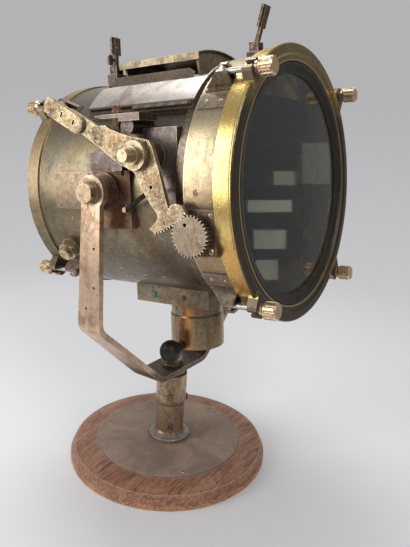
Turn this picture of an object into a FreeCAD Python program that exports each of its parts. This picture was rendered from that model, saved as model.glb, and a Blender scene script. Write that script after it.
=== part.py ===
import FreeCAD, Part
import math
import os

# Morse signal lamp on a round stand, in millimetres.
# +Z is up, the lamp looks along -Y, the trunnions lie along X and the origin is
# the centre of the base's underside. The lamp's own pieces are built level about
# the trunnion axis and then tipped nose-up into their resting attitude.

V = FreeCAD.Vector
ORIGIN = V(0, 0, 0)

# Stand
base_radius = 139.5
base_foot_radius = 137.5
base_bead_radius = 134.5
base_thickness = 22.0
base_foot_chamfer = 2.0
base_side_height = 12.0
base_cove_depth = 2.2
plate_radius = 102.6
plate_thickness = 1.6
plate_screw_circle = 95.0
plate_screw_radius = 2.4
plate_screw_rise = 1.2
plate_screw_first = 108.5
plate_screw_count = 3

# Post
post_radius = 19.8
collar_radius = 21.6
collar_length = 43.0
foot_radius = 29.0
foot_thickness = 5.0
foot_cone_height = 6.0
post_bore_radius = 11.0
post_bore_depth = 60.0
post_screw_radius = 5.0
post_screw_rise = 2.4
slot_width = 1.2

# Yoke
strap_thickness = 7.0
eye_radius = 19.0
arm_width_top = 27.0
arm_width_bend = 33.0
arm_width_base = 44.0
arm_drop = 158.0
yoke_drop = 258.0
lower_bend_half = 50.0
bend_radius = 16.0
arm_hole_radius = 1.6
arm_hole_drops = (62.0, 107.0, 133.0)
arm_hole_across = (-6.3, -7.4, 3.8)
spigot_clearance = 0.05
spigot_length = 55.0
spigot_nut_flats = 26.0
spigot_nut_height = 9.0
trunnion_height = 389.0
nose_up = 5.73
upper_bend_height = trunnion_height - arm_drop
lower_bend_height = trunnion_height - yoke_drop
post_top_gap = 10.0
post_top = lower_bend_height - post_top_gap
collar_foot = post_top - collar_length

# Trunnions
trunnion_bolt_radius = 8.0
trunnion_clearance = 0.05
trunnion_head_flats = 21.0
trunnion_head_height = 8.5
washer_radius = 13.0
washer_thickness = 1.6
boss_radius = 15.5
boss_flange_radius = 21.0
boss_flange_depth = 6.0
boss_face_gap = 0.4
pad_front = -34.0
pad_back = 24.0
pad_top = 22.0
pad_bottom = -42.0

# Drum
drum_radius = 137.5
drum_wall = 1.5
pad_stand = 3.5
pad_face = drum_radius + pad_stand
arm_gap = 22.5
arm_centre = pad_face + arm_gap
drum_front = -102.0
drum_back = 118.0
flange_out = 7.5
flange_wall = 3.0
flange_radius = drum_radius + flange_out
flange_bore = flange_radius - flange_wall
flange_front = -113.0
flange_step = 4.5
mask_width = 12.0
mask_radius = flange_bore - mask_width
band_out = 5.0
band_wall = 4.0
band_radius = flange_radius + band_out
band_bore = band_radius - band_wall
band_front = -157.0
band_lip = 3.0

# Front bezel and glass
bezel_out = 7.0
bezel_lip_out = 2.4
bezel_radius = band_radius + bezel_out
bezel_lip_radius = bezel_radius + bezel_lip_out
bezel_back = -152.0
bezel_face = -174.0
bezel_lip_depth = 5.0
bezel_rim = 16.8
bezel_bore = bezel_radius - bezel_rim
bezel_bore_face = -172.5
ledge_width = 12.2
ledge_radius = bezel_bore - ledge_width
ledge_depth = 5.0
glass_gap = 0.2
glass_thickness = 4.0
glass_ring_overhang = 1.0
glass_ring_bore = ledge_radius - glass_ring_overhang
glass_ring_depth = 5.4

# Rear door
door_ring_out = 2.1
door_ring_radius = drum_radius + door_ring_out
door_ring_lip = drum_radius - drum_wall
door_ring_front = 120.0
door_ring_back = 141.0
door_rise = 26.0
door_wall = 1.6

# Clamps round both ends of the drum, as angles up from the lever side
front_clamp_angles = (46.5, -48.0, 137.0, -131.5)
rear_clamp_angles = (44.5, -46.0, 135.5, -134.0)
clamp_stand = 7.0
rear_clamp_stand = 11.0
clamp_radius = bezel_radius + clamp_stand
clamp_rod_radius = 3.2
clamp_eye_radius = 5.4
clamp_eye_half = 3.4
clamp_pin_radius = 2.5
clamp_pin_clearance = 0.05
clamp_cheek = 3.4
clamp_cheek_gap = 0.5
clamp_cheek_reach = 6.0
clamp_cheek_half = 10.0
clamp_cheek_back = 20.0
front_pivot = -138.0
front_knob_start = -178.0
rear_pivot = 104.0
rear_knob_start = 142.0
knob_radius = 9.6
knob_length = 19.5
knob_neck_radius = 6.6
knob_neck_length = 4.0
knob_flutes = 10
knob_flute_radius = 1.9
knob_bore_clearance = 0.05
ear_half = 10.0
ear_skirt = 15.0
ear_rise = 7.0
ear_outer = clamp_radius + ear_rise
ear_thickness = 11.0
ear_slot_clearance = 0.7
foot_plate_length = 34.0
foot_plate_front = -149.0
foot_plate_thickness = 1.8
foot_plate_span = 24.0
rivet_radius = 2.2
rivet_rise = 1.3
head_gap = 0.02

# Shutter
vane_count = 5
vane_pitch = 42.4
vane_axis = -127.4
vane_half = 22.2
vane_thickness = 1.0
vane_offset = 0.5
vane_circle_gap = 6.0
vane_circle = band_bore - vane_circle_gap
vane_shaft_radius = 2.5
vane_bearing_clearance = 0.05
shaft_cap_radius = 3.2
shaft_cap_rise = 1.6
shaft_cover = 1.0
shaft_end_gap = 0.4
vane_swing_gap = 1.0
link_across = 100.0
link_thickness = 3.0
link_width = 6.0
link_clearance = 1.0
crank_radius = 9.0
crank_angle = -40.0
crank_thickness = 2.4
crank_pin_radius = 1.5
crank_side_gap = 0.5

# Lever and gears
lever_pivot = (-64.9, 38.0)
gear_centre = (vane_axis, -vane_pitch)
lever_teeth = 128
pinion_teeth = 32
pressure_angle = 20.0
backlash = 0.30
sector_first = 10.5
sector_last = 45.5
lever_stand = 13.0
lever_face = -band_radius - lever_stand
lever_thickness = 5.0
lever_hub_radius = 17.0
pinion_thickness = 6.0
pinion_hub_radius = 8.0
pinion_face = 1.5
gear_plate_stand = 3.0
gear_plate_face = -band_radius - gear_plate_stand
gear_plate_front = -152.0
gear_plate_back = -114.0
gear_plate_top = -16.5
gear_plate_bottom = -63.0
pivot_pad_step = 0.5
pivot_pad_face = pivot_pad_step - drum_radius
stop_pad_step = 1.0
pivot_radius = 7.0
pivot_clearance = 0.05
pivot_pillar_radius = 15.5
pivot_pillar_gap = 10.0
pivot_pillar_face = lever_face + pivot_pillar_gap
collar_outer_radius = 15.0
collar_thickness = 6.0
stud_radius = 6.4
stud_length = 12.0
stop_pin_radius = 3.0
stop_pin_place = (-31.0, 53.8)
lever_travel = 20.0
stop_gap = 0.35
stop_screw_radius = 3.4
stop_screw_gap = 9.6
stop_screw_x = lever_face + stop_screw_gap
spring_anchor = (-31.9, -19.8)
spring_bolt_radius = 2.6
spring_bolt_length = 9.0
spring_bolt_end = -pad_face - spring_bolt_length
spring_hole = (-81.4, 5.9)
spring_hole_radius = 2.2
spring_wire = 0.6
spring_radius = 2.2
spring_curls = 20
spring_loop_room = 7.0
spring_tail_room = 7.0

nameplate_gap = 0.3
nameplate_thickness = 0.9

# Under the drum
block_half = 40.0
block_front = -65.5
block_back = 51.0
block_drop = 17.5
block_bottom = -drum_radius - block_drop
socket_centre = -20.0
socket_radius = 36.0
socket_neck_radius = 34.5
socket_neck_drop = 17.0
socket_length = 44.0
socket_neck_bottom = block_bottom - socket_neck_drop
socket_bottom = socket_neck_bottom - socket_length
socket_bore = 31.5
ball_radius = 14.0
ball_stand = 26.0
ball_rise = 7.0
ball_out = socket_radius + ball_stand
ball_height = socket_bottom + ball_rise
ball_screw_radius = 4.0
gland_angle = -31.5
reflector_edge = 19.5

# Hood on top
hood_rise = 13.5
hood_radius = drum_radius + hood_rise
hood_wall = 1.2
hood_front = -104.0
hood_back = 46.0
hood_foot_angle = 36.0
hood_lid_edge_angle = 53.5
hood_lid_gap = 0.6
hood_flange_rise = 15.5
hood_flange_lean = 57.0
hood_cap_rise = 14.0
hood_cap_radius = hood_radius + hood_cap_rise
hood_cap_angle = 73.0
hood_cap_skirt = 8.0
hood_cap_front = -66.0
hood_cap_back = 57.0
hinge_radius = 2.2
hinge_angle = 37.5
hinge_clearance = 0.05
hinge_pin_radius = 1.1
knuckle_count = 9
hinge_back = -24.0
hinge_start = 4.0
hinge_end_gap = 0.6
hood_flange_front = -86.0
hood_flange_back = 34.0

# Sights
rear_sight_x = -40.0
rear_sight_y = 70.0
rear_sight_rise = 15.5
rear_sight_pin = drum_radius + rear_sight_rise
front_sight_x = -20.0
front_sight_y = -127.0
front_sight_rise = 10.0
front_sight_pin = band_radius + front_sight_rise
front_sight_lean = 18.0
sight_pin_radius = 2.0
sight_pin_clearance = 0.05


def cylinder(radius, start, end):
    run = end - start
    return Part.makeCylinder(radius, run.Length, start, run)


def block(x, y, z):
    return Part.makeBox(x[1] - x[0], y[1] - y[0], z[1] - z[0], V(x[0], y[0], z[0]))


def along_y(radius, start, end, x=0.0, z=0.0):
    return cylinder(radius, V(x, start, z), V(x, end, z))


def along_x(radius, start, end, y=0.0, z=0.0):
    return cylinder(radius, V(start, y, z), V(end, y, z))


def along_z(radius, start, end, x=0.0, y=0.0):
    return cylinder(radius, V(x, y, start), V(x, y, end))


def ring_y(outer, inner, start, end):
    return along_y(outer, start, end).cut(along_y(inner, start - 1, end + 1))


def turned(profile, axis):
    """Turn a profile of (radius, height) pairs about Z or (radius, depth) pairs about Y."""
    if axis == "z":
        points = [V(r, 0, h) for r, h in profile]
        line = V(0, 0, 1)
    else:
        points = [V(r, h, 0) for r, h in profile]
        line = V(0, 1, 0)
    face = Part.Face(Part.makePolygon(points + points[:1]))
    return face.revolve(ORIGIN, line, 360)


def flat_on_x(outline, start, end):
    """A plate from an outline of (y, z) pairs, between two places along X."""
    points = [V(start, y, z) for y, z in outline]
    face = Part.Face(Part.makePolygon(points + points[:1]))
    return face.extrude(V(end - start, 0, 0))


def flat_on_y(outline, start, end):
    points = [V(x, start, z) for x, z in outline]
    face = Part.Face(Part.makePolygon(points + points[:1]))
    return face.extrude(V(0, end - start, 0))


def hexagon(flats, start, end):
    """A hexagon bar whose axis runs from one point to the other."""
    run = end - start
    corner = flats / math.sqrt(3)
    points = []
    for i in range(6):
        turn = math.radians(60 * i)
        points.append(V(corner * math.cos(turn), corner * math.sin(turn), 0))
    bar = Part.Face(Part.makePolygon(points + points[:1])).extrude(V(0, 0, run.Length))
    cone = Part.makeCone(corner + 0.2 * run.Length, corner * 0.9, run.Length * 1.02)
    bar = bar.common(cone)
    bar.Placement = FreeCAD.Placement(start, FreeCAD.Rotation(V(0, 0, 1), run))
    return bar


def joined(shapes):
    whole = shapes[0].fuse(shapes[1:])
    return whole.removeSplitter()


def turned_about(shape, line, angle, centre=ORIGIN):
    copy = shape.copy()
    copy.rotate(centre, line, angle)
    return copy


def to_clamp(shape, angle):
    """Move a piece built above the drum round to an angle up from the lever side."""
    return turned_about(shape, V(0, 1, 0), angle - 90)


def mirrored(shape):
    return shape.mirror(ORIGIN, V(1, 0, 0))


def on_drum(shape):
    copy = turned_about(shape, V(1, 0, 0), -nose_up)
    copy.translate(V(0, 0, trunnion_height))
    return copy


def slotted(head, centre, line, across, radius):
    """Cut a screwdriver slot in a round head."""
    side = line.cross(across)
    cutter = Part.makeBox(2.4 * radius, slot_width, slot_width)
    cutter.translate(V(-1.2 * radius, -slot_width / 2, -slot_width / 2))
    placement = FreeCAD.Placement(centre, FreeCAD.Rotation(across, side, line))
    cutter.Placement = placement.multiply(cutter.Placement)
    return head.cut(cutter)


def dome(radius, rise, base, line):
    """A low round head standing on a surface, with a short shank into it."""
    ball = (radius * radius + rise * rise) / (2 * rise)
    cap = Part.makeSphere(ball, V(0, 0, rise - ball))
    cap = cap.common(Part.makeCylinder(radius, rise, ORIGIN))
    cap.Placement = FreeCAD.Placement(base, FreeCAD.Rotation(V(0, 0, 1), line))
    return cap


def radial(angle, radius, depth):
    turn = math.radians(angle)
    return V(-radius * math.cos(turn), depth, radius * math.sin(turn))


def outward(angle):
    turn = math.radians(angle)
    return V(-math.cos(turn), 0, math.sin(turn))


# The stand

def wooden_base():
    side = base_side_height
    bead = base_bead_radius
    profile = [
        (0, 0),
        (base_foot_radius, 0),
        (base_radius, base_foot_chamfer),
        (base_radius, side - 3),
        (base_radius - 1.0, side - 1),
        (bead + 2.4, side + 1.5),
        (bead + 1.6, side + 1.5 + base_cove_depth),
        (bead + 1.0, side + 5.6),
        (bead - 1.4, side + 6.6),
        (bead - 8.0, side + 8.4),
        (plate_radius + 16, base_thickness - 0.4),
        (plate_radius + 4, base_thickness),
        (0, base_thickness),
    ]
    return turned(profile, "z")


def base_plate():
    top = base_thickness + plate_thickness
    profile = [
        (0, base_thickness),
        (plate_radius, base_thickness),
        (plate_radius, top - 0.5),
        (plate_radius - 0.8, top),
        (0, top),
    ]
    return turned(profile, "z")


def base_screws():
    top = base_thickness + plate_thickness
    heads = []
    for i in range(plate_screw_count):
        turn = math.radians(plate_screw_first + 360 * i / plate_screw_count)
        place = V(plate_screw_circle * math.cos(turn), plate_screw_circle * math.sin(turn), top)
        head = dome(plate_screw_radius, plate_screw_rise, place, V(0, 0, 1))
        heads.append(slotted(head, place + V(0, 0, plate_screw_rise), V(0, 0, 1), V(1, 0, 0), plate_screw_radius))
    return Part.makeCompound(heads)


def post():
    foot = base_thickness + plate_thickness
    profile = [
        (0, foot),
        (foot_radius, foot),
        (foot_radius, foot + foot_thickness - 1.2),
        (foot_radius - 1.6, foot + foot_thickness),
        (post_radius + 4.0, foot + foot_thickness + 1.0),
        (post_radius + 1.2, foot + foot_thickness + foot_cone_height * 0.5),
        (post_radius, foot + foot_thickness + foot_cone_height),
        (post_radius, collar_foot - 3),
        (collar_radius - 0.4, collar_foot),
        (collar_radius, collar_foot + 4),
        (collar_radius, post_top - 1.0),
        (collar_radius - 1.0, post_top),
        (0, post_top),
    ]
    column = turned(profile, "z")
    return column.cut(along_z(post_bore_radius, post_top - post_bore_depth, post_top + 1))


def post_screws():
    """Three slotted screws seen on the post: two on its collar and one in its foot."""
    places = ((-147.0, 90.0, collar_radius), (-39.0, 80.0, collar_radius), (-141.0, 44.0, post_radius))
    heads = []
    for angle, height, radius in places:
        turn = math.radians(angle)
        line = V(math.cos(turn), math.sin(turn), 0)
        inner = line * (radius - 1.5) + V(0, 0, height)
        outer = line * (radius + post_screw_rise) + V(0, 0, height)
        head = cylinder(post_screw_radius, inner, outer)
        head = head.cut(along_z(radius, height - 9, height + 9))
        heads.append(slotted(head, outer, line, V(0, 0, 1), post_screw_radius))
    return Part.makeCompound(heads)


# The yoke and its pivot on the post

def yoke_side(offset):
    """Half of the strap's path in the XZ plane, as corner points, moved sideways by an offset."""
    slope = math.atan2(upper_bend_height - lower_bend_height, arm_centre - lower_bend_half)
    upper = math.tan((math.pi / 2 - slope) / 2)
    lower = math.tan(slope / 2)
    return [
        (arm_centre + offset, trunnion_height + eye_radius),
        (arm_centre + offset, upper_bend_height - offset * upper),
        (lower_bend_half + offset * lower, lower_bend_height - offset),
    ]


def yoke():
    centre_line = lower_bend_height
    half = strap_thickness / 2
    outside = yoke_side(half)
    inside = yoke_side(-half)
    outline = outside + [(-x, z) for x, z in reversed(outside)]
    outline += [(-x, z) for x, z in inside] + list(reversed(inside))
    deep = arm_width_base
    strap = flat_on_y(outline, -deep, deep)
    bends = []
    for edge in strap.Edges:
        start = edge.Vertexes[0].Point
        end = edge.Vertexes[-1].Point
        if abs(start.y - end.y) > deep and start.z < upper_bend_height + 20:
            bends.append(edge)
    inner = [e for e in bends if bend_is_inside(e.Vertexes[0].Point, inside)]
    outer = [e for e in bends if e not in inner]
    strap = strap.makeFillet(bend_radius, inner)
    outer_places = [e.Vertexes[0].Point for e in outer]
    again = []
    for edge in strap.Edges:
        start = edge.Vertexes[0].Point
        end = edge.Vertexes[-1].Point
        if abs(start.y - end.y) > deep:
            for place in outer_places:
                if abs(start.x - place.x) < 0.01 and abs(start.z - place.z) < 0.01:
                    again.append(edge)
    strap = strap.makeFillet(bend_radius + strap_thickness, again)
    top = arm_width_top / 2
    bend = arm_width_bend / 2
    base = arm_width_base / 2
    shape_of_arm = [
        (-top, trunnion_height),
        (-bend, upper_bend_height),
        (-base, centre_line + 18),
        (-base, centre_line - 30),
        (base, centre_line - 30),
        (base, centre_line + 18),
        (bend, upper_bend_height),
        (top, trunnion_height),
    ]
    across = arm_centre + 20
    sheet = flat_on_x(shape_of_arm, -across, across)
    eyes = along_x(eye_radius, -across, across, 0, trunnion_height)
    strap = strap.common(sheet.fuse(eyes))
    strap = strap.cut(along_x(trunnion_bolt_radius + trunnion_clearance, -across, across, 0, trunnion_height))
    for drop, side in zip(arm_hole_drops, arm_hole_across):
        height = trunnion_height - drop
        strap = strap.cut(along_x(arm_hole_radius, -across, -arm_centre + 10, side, height))
    return strap.cut(along_z(post_bore_radius - 1.0, post_top - 5, post_top + 60))


def bend_is_inside(point, inside):
    for x, z in inside:
        if abs(abs(point.x) - x) < 0.01 and abs(point.z - z) < 0.01:
            return True
    return False


def yoke_spigot():
    """Turned pin under the yoke, riveted through the strap, that turns in the post's bore."""
    top = lower_bend_height + strap_thickness / 2
    foot = lower_bend_height - strap_thickness / 2
    shank = along_z(post_bore_radius - spigot_clearance, post_top - spigot_length, post_top)
    shoulder = along_z(collar_radius - 3.0, post_top + boss_face_gap, foot)
    neck = along_z(post_bore_radius - 1.0, post_top - 1, top)
    return joined([shank, shoulder, neck])


def yoke_nut():
    top = lower_bend_height + strap_thickness / 2
    washer = along_z(washer_radius + 3, top, top + washer_thickness)
    nut = hexagon(spigot_nut_flats, V(0, 0, top + washer_thickness), V(0, 0, top + spigot_nut_height))
    return joined([washer, nut])


# Trunnions, in the drum's own level frame

def trunnion_pads():
    """A rectangular seating pad on each side of the drum, hollowed to sit on its skin."""
    pad = block((-pad_face, -drum_radius * 0.7), (pad_front, pad_back), (pad_bottom, pad_top))
    pad = pad.cut(along_y(drum_radius, pad_front - 1, pad_back + 1))
    return Part.makeCompound([pad, mirrored(pad)])


def trunnion_bosses():
    inner = arm_centre - strap_thickness / 2 - boss_face_gap
    flange = along_x(boss_flange_radius, -pad_face - boss_flange_depth, -pad_face)
    barrel = along_x(boss_radius, -inner, -pad_face)
    boss = joined([flange, barrel])
    boss = boss.cut(along_x(trunnion_bolt_radius, -inner - 1, -pad_face + 1))
    return Part.makeCompound([boss, mirrored(boss)])


def trunnion_bolts():
    outer = arm_centre + strap_thickness / 2 + boss_face_gap
    shank = along_x(trunnion_bolt_radius, -outer - 1, -pad_face)
    washer = along_x(washer_radius, -outer - washer_thickness, -outer)
    head_start = V(-outer - washer_thickness, 0, 0)
    head = hexagon(trunnion_head_flats, head_start, head_start - V(trunnion_head_height, 0, 0))
    bolt = joined([shank, washer, head])
    return Part.makeCompound([bolt, mirrored(bolt)])


# Drum and its two ends

def body_shell():
    shell = ring_y(drum_radius, drum_radius - drum_wall, drum_front, drum_back)
    vent = block((-62, 62), (hood_front + 24, hood_back - 24), (100, 150))
    shell = shell.cut(vent)
    opening = along_z(socket_neck_radius, -150, -100, 0, socket_centre)
    return shell.cut(opening)


def shutter_flange():
    wall = drum_front - flange_wall
    profile = [
        (mask_radius, wall),
        (flange_bore, wall),
        (flange_bore, flange_front),
        (flange_radius, flange_front),
        (flange_radius, drum_front + flange_step - 1.5),
        (flange_radius - 1.5, drum_front + flange_step),
        (drum_radius, drum_front + flange_step),
        (drum_radius, drum_front),
        (mask_radius, drum_front),
    ]
    return turned(profile, "y")


def front_band():
    profile = [
        (band_bore, band_front),
        (band_radius, band_front),
        (band_radius, flange_front + 0.8),
        (band_radius - 0.8, flange_front),
        (flange_bore, flange_front),
        (flange_bore, flange_front - band_lip),
        (band_bore, flange_front - band_lip),
    ]
    return bored_for_shafts(turned(profile, "y"))


def bored_for_shafts(shape):
    """Cut the bearing bores of all the slat shafts across the front of the drum."""
    bearing = vane_shaft_radius + vane_bearing_clearance
    for height in vane_heights():
        reach = shaft_reach(height) + shaft_end_gap
        near = -band_radius - 1 if is_driven(height) else -reach
        shape = shape.cut(along_x(bearing, near, reach, vane_axis, height))
    return shape


def shaft_reach(height):
    """Where a slat's shaft ends, inside the band's wall."""
    return math.sqrt(band_radius ** 2 - height ** 2) - shaft_cover - shaft_end_gap


def is_driven(height):
    return abs(height - gear_centre[1]) < vane_pitch / 2


def bezel():
    lip = bezel_face + bezel_lip_depth
    ledge_front = glass_back()
    profile = [
        (bezel_radius, bezel_back),
        (bezel_radius, lip),
        (bezel_lip_radius - 0.6, lip - 1.6),
        (bezel_lip_radius, lip - 2.6),
        (bezel_lip_radius, bezel_face + 1.2),
        (bezel_lip_radius - 1.2, bezel_face),
        (bezel_bore + 9, bezel_face),
        (bezel_bore + 6, bezel_bore_face),
        (bezel_bore, bezel_bore_face),
        (bezel_bore, ledge_front),
        (ledge_radius, ledge_front),
        (ledge_radius, ledge_front + ledge_depth),
        (band_radius, ledge_front + ledge_depth),
        (band_radius, bezel_back),
    ]
    rim = turned(profile, "y")
    face = front_knob_start + 1.0
    ears = [clamp_ear(angle, face, face + ear_thickness) for angle in front_clamp_angles]
    body = along_y(bezel_radius - 4, bezel_face, bezel_back)
    return joined([rim] + [ear.cut(body) for ear in ears])


def glass_back():
    return band_front - ledge_depth


def clamp_ear(angle, start, end):
    """Slotted ear on a rim; the slot is open outwards so that the bolt can swing clear."""
    root = bezel_radius - 6
    outline = [
        (-ear_skirt, root),
        (-ear_half, ear_outer - 3),
        (-ear_half + 2, ear_outer),
        (ear_half - 2, ear_outer),
        (ear_half, ear_outer - 3),
        (ear_skirt, root),
    ]
    ear = flat_on_y(outline, start, end)
    half = clamp_rod_radius + ear_slot_clearance
    slot = block((-half, half), (start - 1, end + 1), (clamp_radius, ear_outer + 1))
    slot = slot.fuse(along_y(half, start - 1, end + 1, 0, clamp_radius))
    return to_clamp(ear.cut(slot), angle)


def glass():
    return along_y(bezel_bore - glass_gap, glass_back() - glass_thickness, glass_back())


def glass_ring():
    back = glass_back() - glass_thickness
    front = back - glass_ring_depth
    outer = bezel_bore - glass_gap
    profile = [
        (outer, back),
        (outer, front + 0.8),
        (outer - 1.0, front - 1.2),
        (outer - 2.4, front - 1.2),
        (outer - 3.6, front + 0.6),
        (glass_ring_bore + 1.6, front + 2.6),
        (glass_ring_bore, front + 3.8),
        (glass_ring_bore, back),
    ]
    return turned(profile, "y")


def rear_ring():
    profile = [
        (drum_radius - drum_wall - 4, drum_back),
        (drum_radius, drum_back),
        (drum_radius, door_ring_front),
        (door_ring_radius, door_ring_front),
        (door_ring_radius, door_ring_back - 2),
        (door_ring_radius - 2, door_ring_back),
        (door_ring_lip - 6, door_ring_back),
        (door_ring_lip - 6, door_ring_back - 4),
        (drum_radius - drum_wall - 4, door_ring_back - 4),
    ]
    ring = turned(profile, "y")
    face = rear_knob_start - 1.0
    ears = [clamp_ear_back(angle, face - ear_thickness, face) for angle in rear_clamp_angles]
    body = along_y(door_ring_radius - 4, door_ring_front, door_ring_back + 20)
    return joined([ring] + [ear.cut(body) for ear in ears])


def clamp_ear_back(angle, start, end):
    root = door_ring_radius - 8
    outer = rear_clamp_radius() + 6
    outline = [
        (-ear_skirt, root),
        (-ear_half, outer - 3),
        (-ear_half + 2, outer),
        (ear_half - 2, outer),
        (ear_half, outer - 3),
        (ear_skirt, root),
    ]
    ear = flat_on_y(outline, start, end)
    half = clamp_rod_radius + ear_slot_clearance
    centre = rear_clamp_radius()
    slot = block((-half, half), (start - 1, end + 1), (centre, outer + 1))
    slot = slot.fuse(along_y(half, start - 1, end + 1, 0, centre))
    return to_clamp(ear.cut(slot), angle)


def rear_clamp_radius():
    return drum_radius + rear_clamp_stand


def rear_door():
    """Dished back with a flat rim, seated in the rear ring."""
    rim = door_ring_lip - 6
    back = door_ring_back
    crown = back + door_rise
    drop = ((0.385, 2.4), (0.677, 9.0), (0.862, 17.5), (0.954, door_rise - 3.0))
    outer = [(0, crown)] + [(rim * share, crown - fall) for share, fall in drop] + [(rim, back), (rim, back - 4)]
    drop = ((0.908, door_rise + 4.0), (0.831, 17.5), (0.662, 10.6), (0.377, 4.0))
    inner = [(rim * share, crown - fall) for share, fall in drop] + [(0, crown - door_wall)]
    return turned(outer + inner, "y")


# Clamps

def front_lugs():
    return Part.makeCompound([clamp_lug(a, front_pivot, band_radius, clamp_radius, -1) for a in front_clamp_angles])


def rear_lugs():
    radius = rear_clamp_radius()
    return Part.makeCompound([clamp_lug(a, rear_pivot, drum_radius, radius, 1) for a in rear_clamp_angles])


def clamp_lug(angle, pivot, skin, centre, way):
    """Two cheeks and a cross pin on a foot plate bent to the skin it is riveted to."""
    half = clamp_eye_half + clamp_cheek_gap
    outer = half + clamp_cheek
    long_half = clamp_cheek_half
    base = skin - 3
    top = centre + clamp_cheek_reach
    outline = [
        (pivot + way * long_half, base),
        (pivot + way * (clamp_cheek_reach + 3), top - 4),
        (pivot + way * clamp_cheek_reach, top),
        (pivot - way * (clamp_cheek_reach - 4), top),
        (pivot - way * clamp_cheek_back, skin + foot_plate_thickness + 1.5),
        (pivot - way * clamp_cheek_back, base),
    ]
    cheek = flat_on_x(outline, half, outer)
    other = cheek.mirror(ORIGIN, V(1, 0, 0))
    span = outer + 3
    front = pivot + way * (clamp_cheek_half + 1)
    back = pivot - way * (clamp_cheek_back + 2)
    start = min(front, back)
    end = max(front, back)
    foot = block((-span, span), (start, end), (skin - 6, skin + 10))
    foot = foot.common(along_y(skin + foot_plate_thickness, start, end))
    pin = along_x(clamp_pin_radius, -outer - 1.2, outer + 1.2, pivot, centre)
    lug = joined([cheek, other, foot, pin])
    lug = lug.cut(along_y(skin, start - 1, end + 1))
    return to_clamp(lug, angle)


def swing_bolt(angle, pivot, centre, tip):
    """Eye bolt lying along the drum, hinged on the lug's cross pin."""
    way = 1 if tip > pivot else -1
    half = clamp_eye_half
    eye = along_x(clamp_eye_radius, -half, half, pivot, centre)
    rod = along_y(clamp_rod_radius, pivot, tip, 0, centre)
    bolt = joined([eye, rod])
    bolt = bolt.cut(along_x(clamp_pin_radius + clamp_pin_clearance, -half - 1, half + 1, pivot, centre))
    return to_clamp(bolt, angle)


def knob(angle, start, centre, way):
    """Fluted turned nut: neck towards the ear, flutes along the grip, blind bore on the rod."""
    bore = clamp_rod_radius + knob_bore_clearance
    depth = knob_length - 3.0
    profile = [
        (0, depth),
        (bore, depth),
        (bore, 0),
        (knob_neck_radius, 0),
        (knob_neck_radius, knob_neck_length - 1.5),
        (knob_radius - 1.2, knob_neck_length),
        (knob_radius, knob_neck_length + 1.4),
        (knob_radius, knob_length - 1.8),
        (knob_radius - 1.8, knob_length),
        (0, knob_length),
    ]
    grip = turned(profile, "z")
    for i in range(knob_flutes):
        turn = 2 * math.pi * i / knob_flutes
        reach = knob_radius + knob_flute_radius * 0.45
        x = reach * math.cos(turn)
        y = reach * math.sin(turn)
        grip = grip.cut(along_z(knob_flute_radius, knob_neck_length + 2.4, knob_length + 1, x, y))
    grip.Placement = FreeCAD.Placement(V(0, start, centre), FreeCAD.Rotation(V(0, 0, 1), V(0, way, 0)))
    return to_clamp(grip, angle)


def rod_tip(start, way):
    return start + way * (knob_length - 3.6)


def front_plates():
    """Riveted foot straps on the band beside each clamp lug."""
    long = foot_plate_length
    outer = band_radius + foot_plate_thickness
    plates = []
    for angle in front_clamp_angles:
        way = -1 if angle > 0 else 1
        if abs(angle) > 90:
            way = -way
        near = 6.2
        far = near + foot_plate_span / band_radius * 57.3 * 0.75
        pieces = ring_y(outer, band_radius, foot_plate_front, foot_plate_front + long)
        wedge = wedge_between(angle + way * near, angle + way * far, foot_plate_front, foot_plate_front + long)
        plates.append(bored_for_shafts(pieces.common(wedge)))
    return Part.makeCompound(plates)


def wedge_between(first, last, start, end):
    low = min(first, last)
    high = max(first, last)
    reach = 400.0
    points = [V(0, start, 0)]
    for turn in (low, high):
        points.append(radial(turn, reach, start))
    face = Part.Face(Part.makePolygon(points + points[:1]))
    return face.extrude(V(0, end - start, 0))


def plate_rivets():
    heads = []
    for angle in front_clamp_angles:
        way = -1 if angle > 0 else 1
        if abs(angle) > 90:
            way = -way
        for depth in (foot_plate_front + 8, foot_plate_front + foot_plate_length - 9):
            turn = angle + way * 9.6
            place = radial(turn, band_radius + foot_plate_thickness + head_gap, depth)
            heads.append(dome(rivet_radius, rivet_rise, place, outward(turn)))
    return Part.makeCompound(heads)


def body_rivets():
    """Round heads on the drum's skin: two above the nameplate level and a row near the bottom."""
    places = ((14.7, 68.0), (-14.2, 66.4), (-45.7, 24.8), (-53.3, 28.0), (-50.3, -6.7), (-50.0, -35.1))
    heads = []
    for angle, depth in places:
        for side in (angle, 180 - angle):
            place = radial(side, drum_radius + head_gap, depth)
            heads.append(dome(rivet_radius, rivet_rise, place, outward(side)))
    return Part.makeCompound(heads)


# Shutter

def vane_heights():
    middle = (vane_count - 1) / 2
    return [vane_pitch * (i - middle) for i in range(vane_count)]


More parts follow.
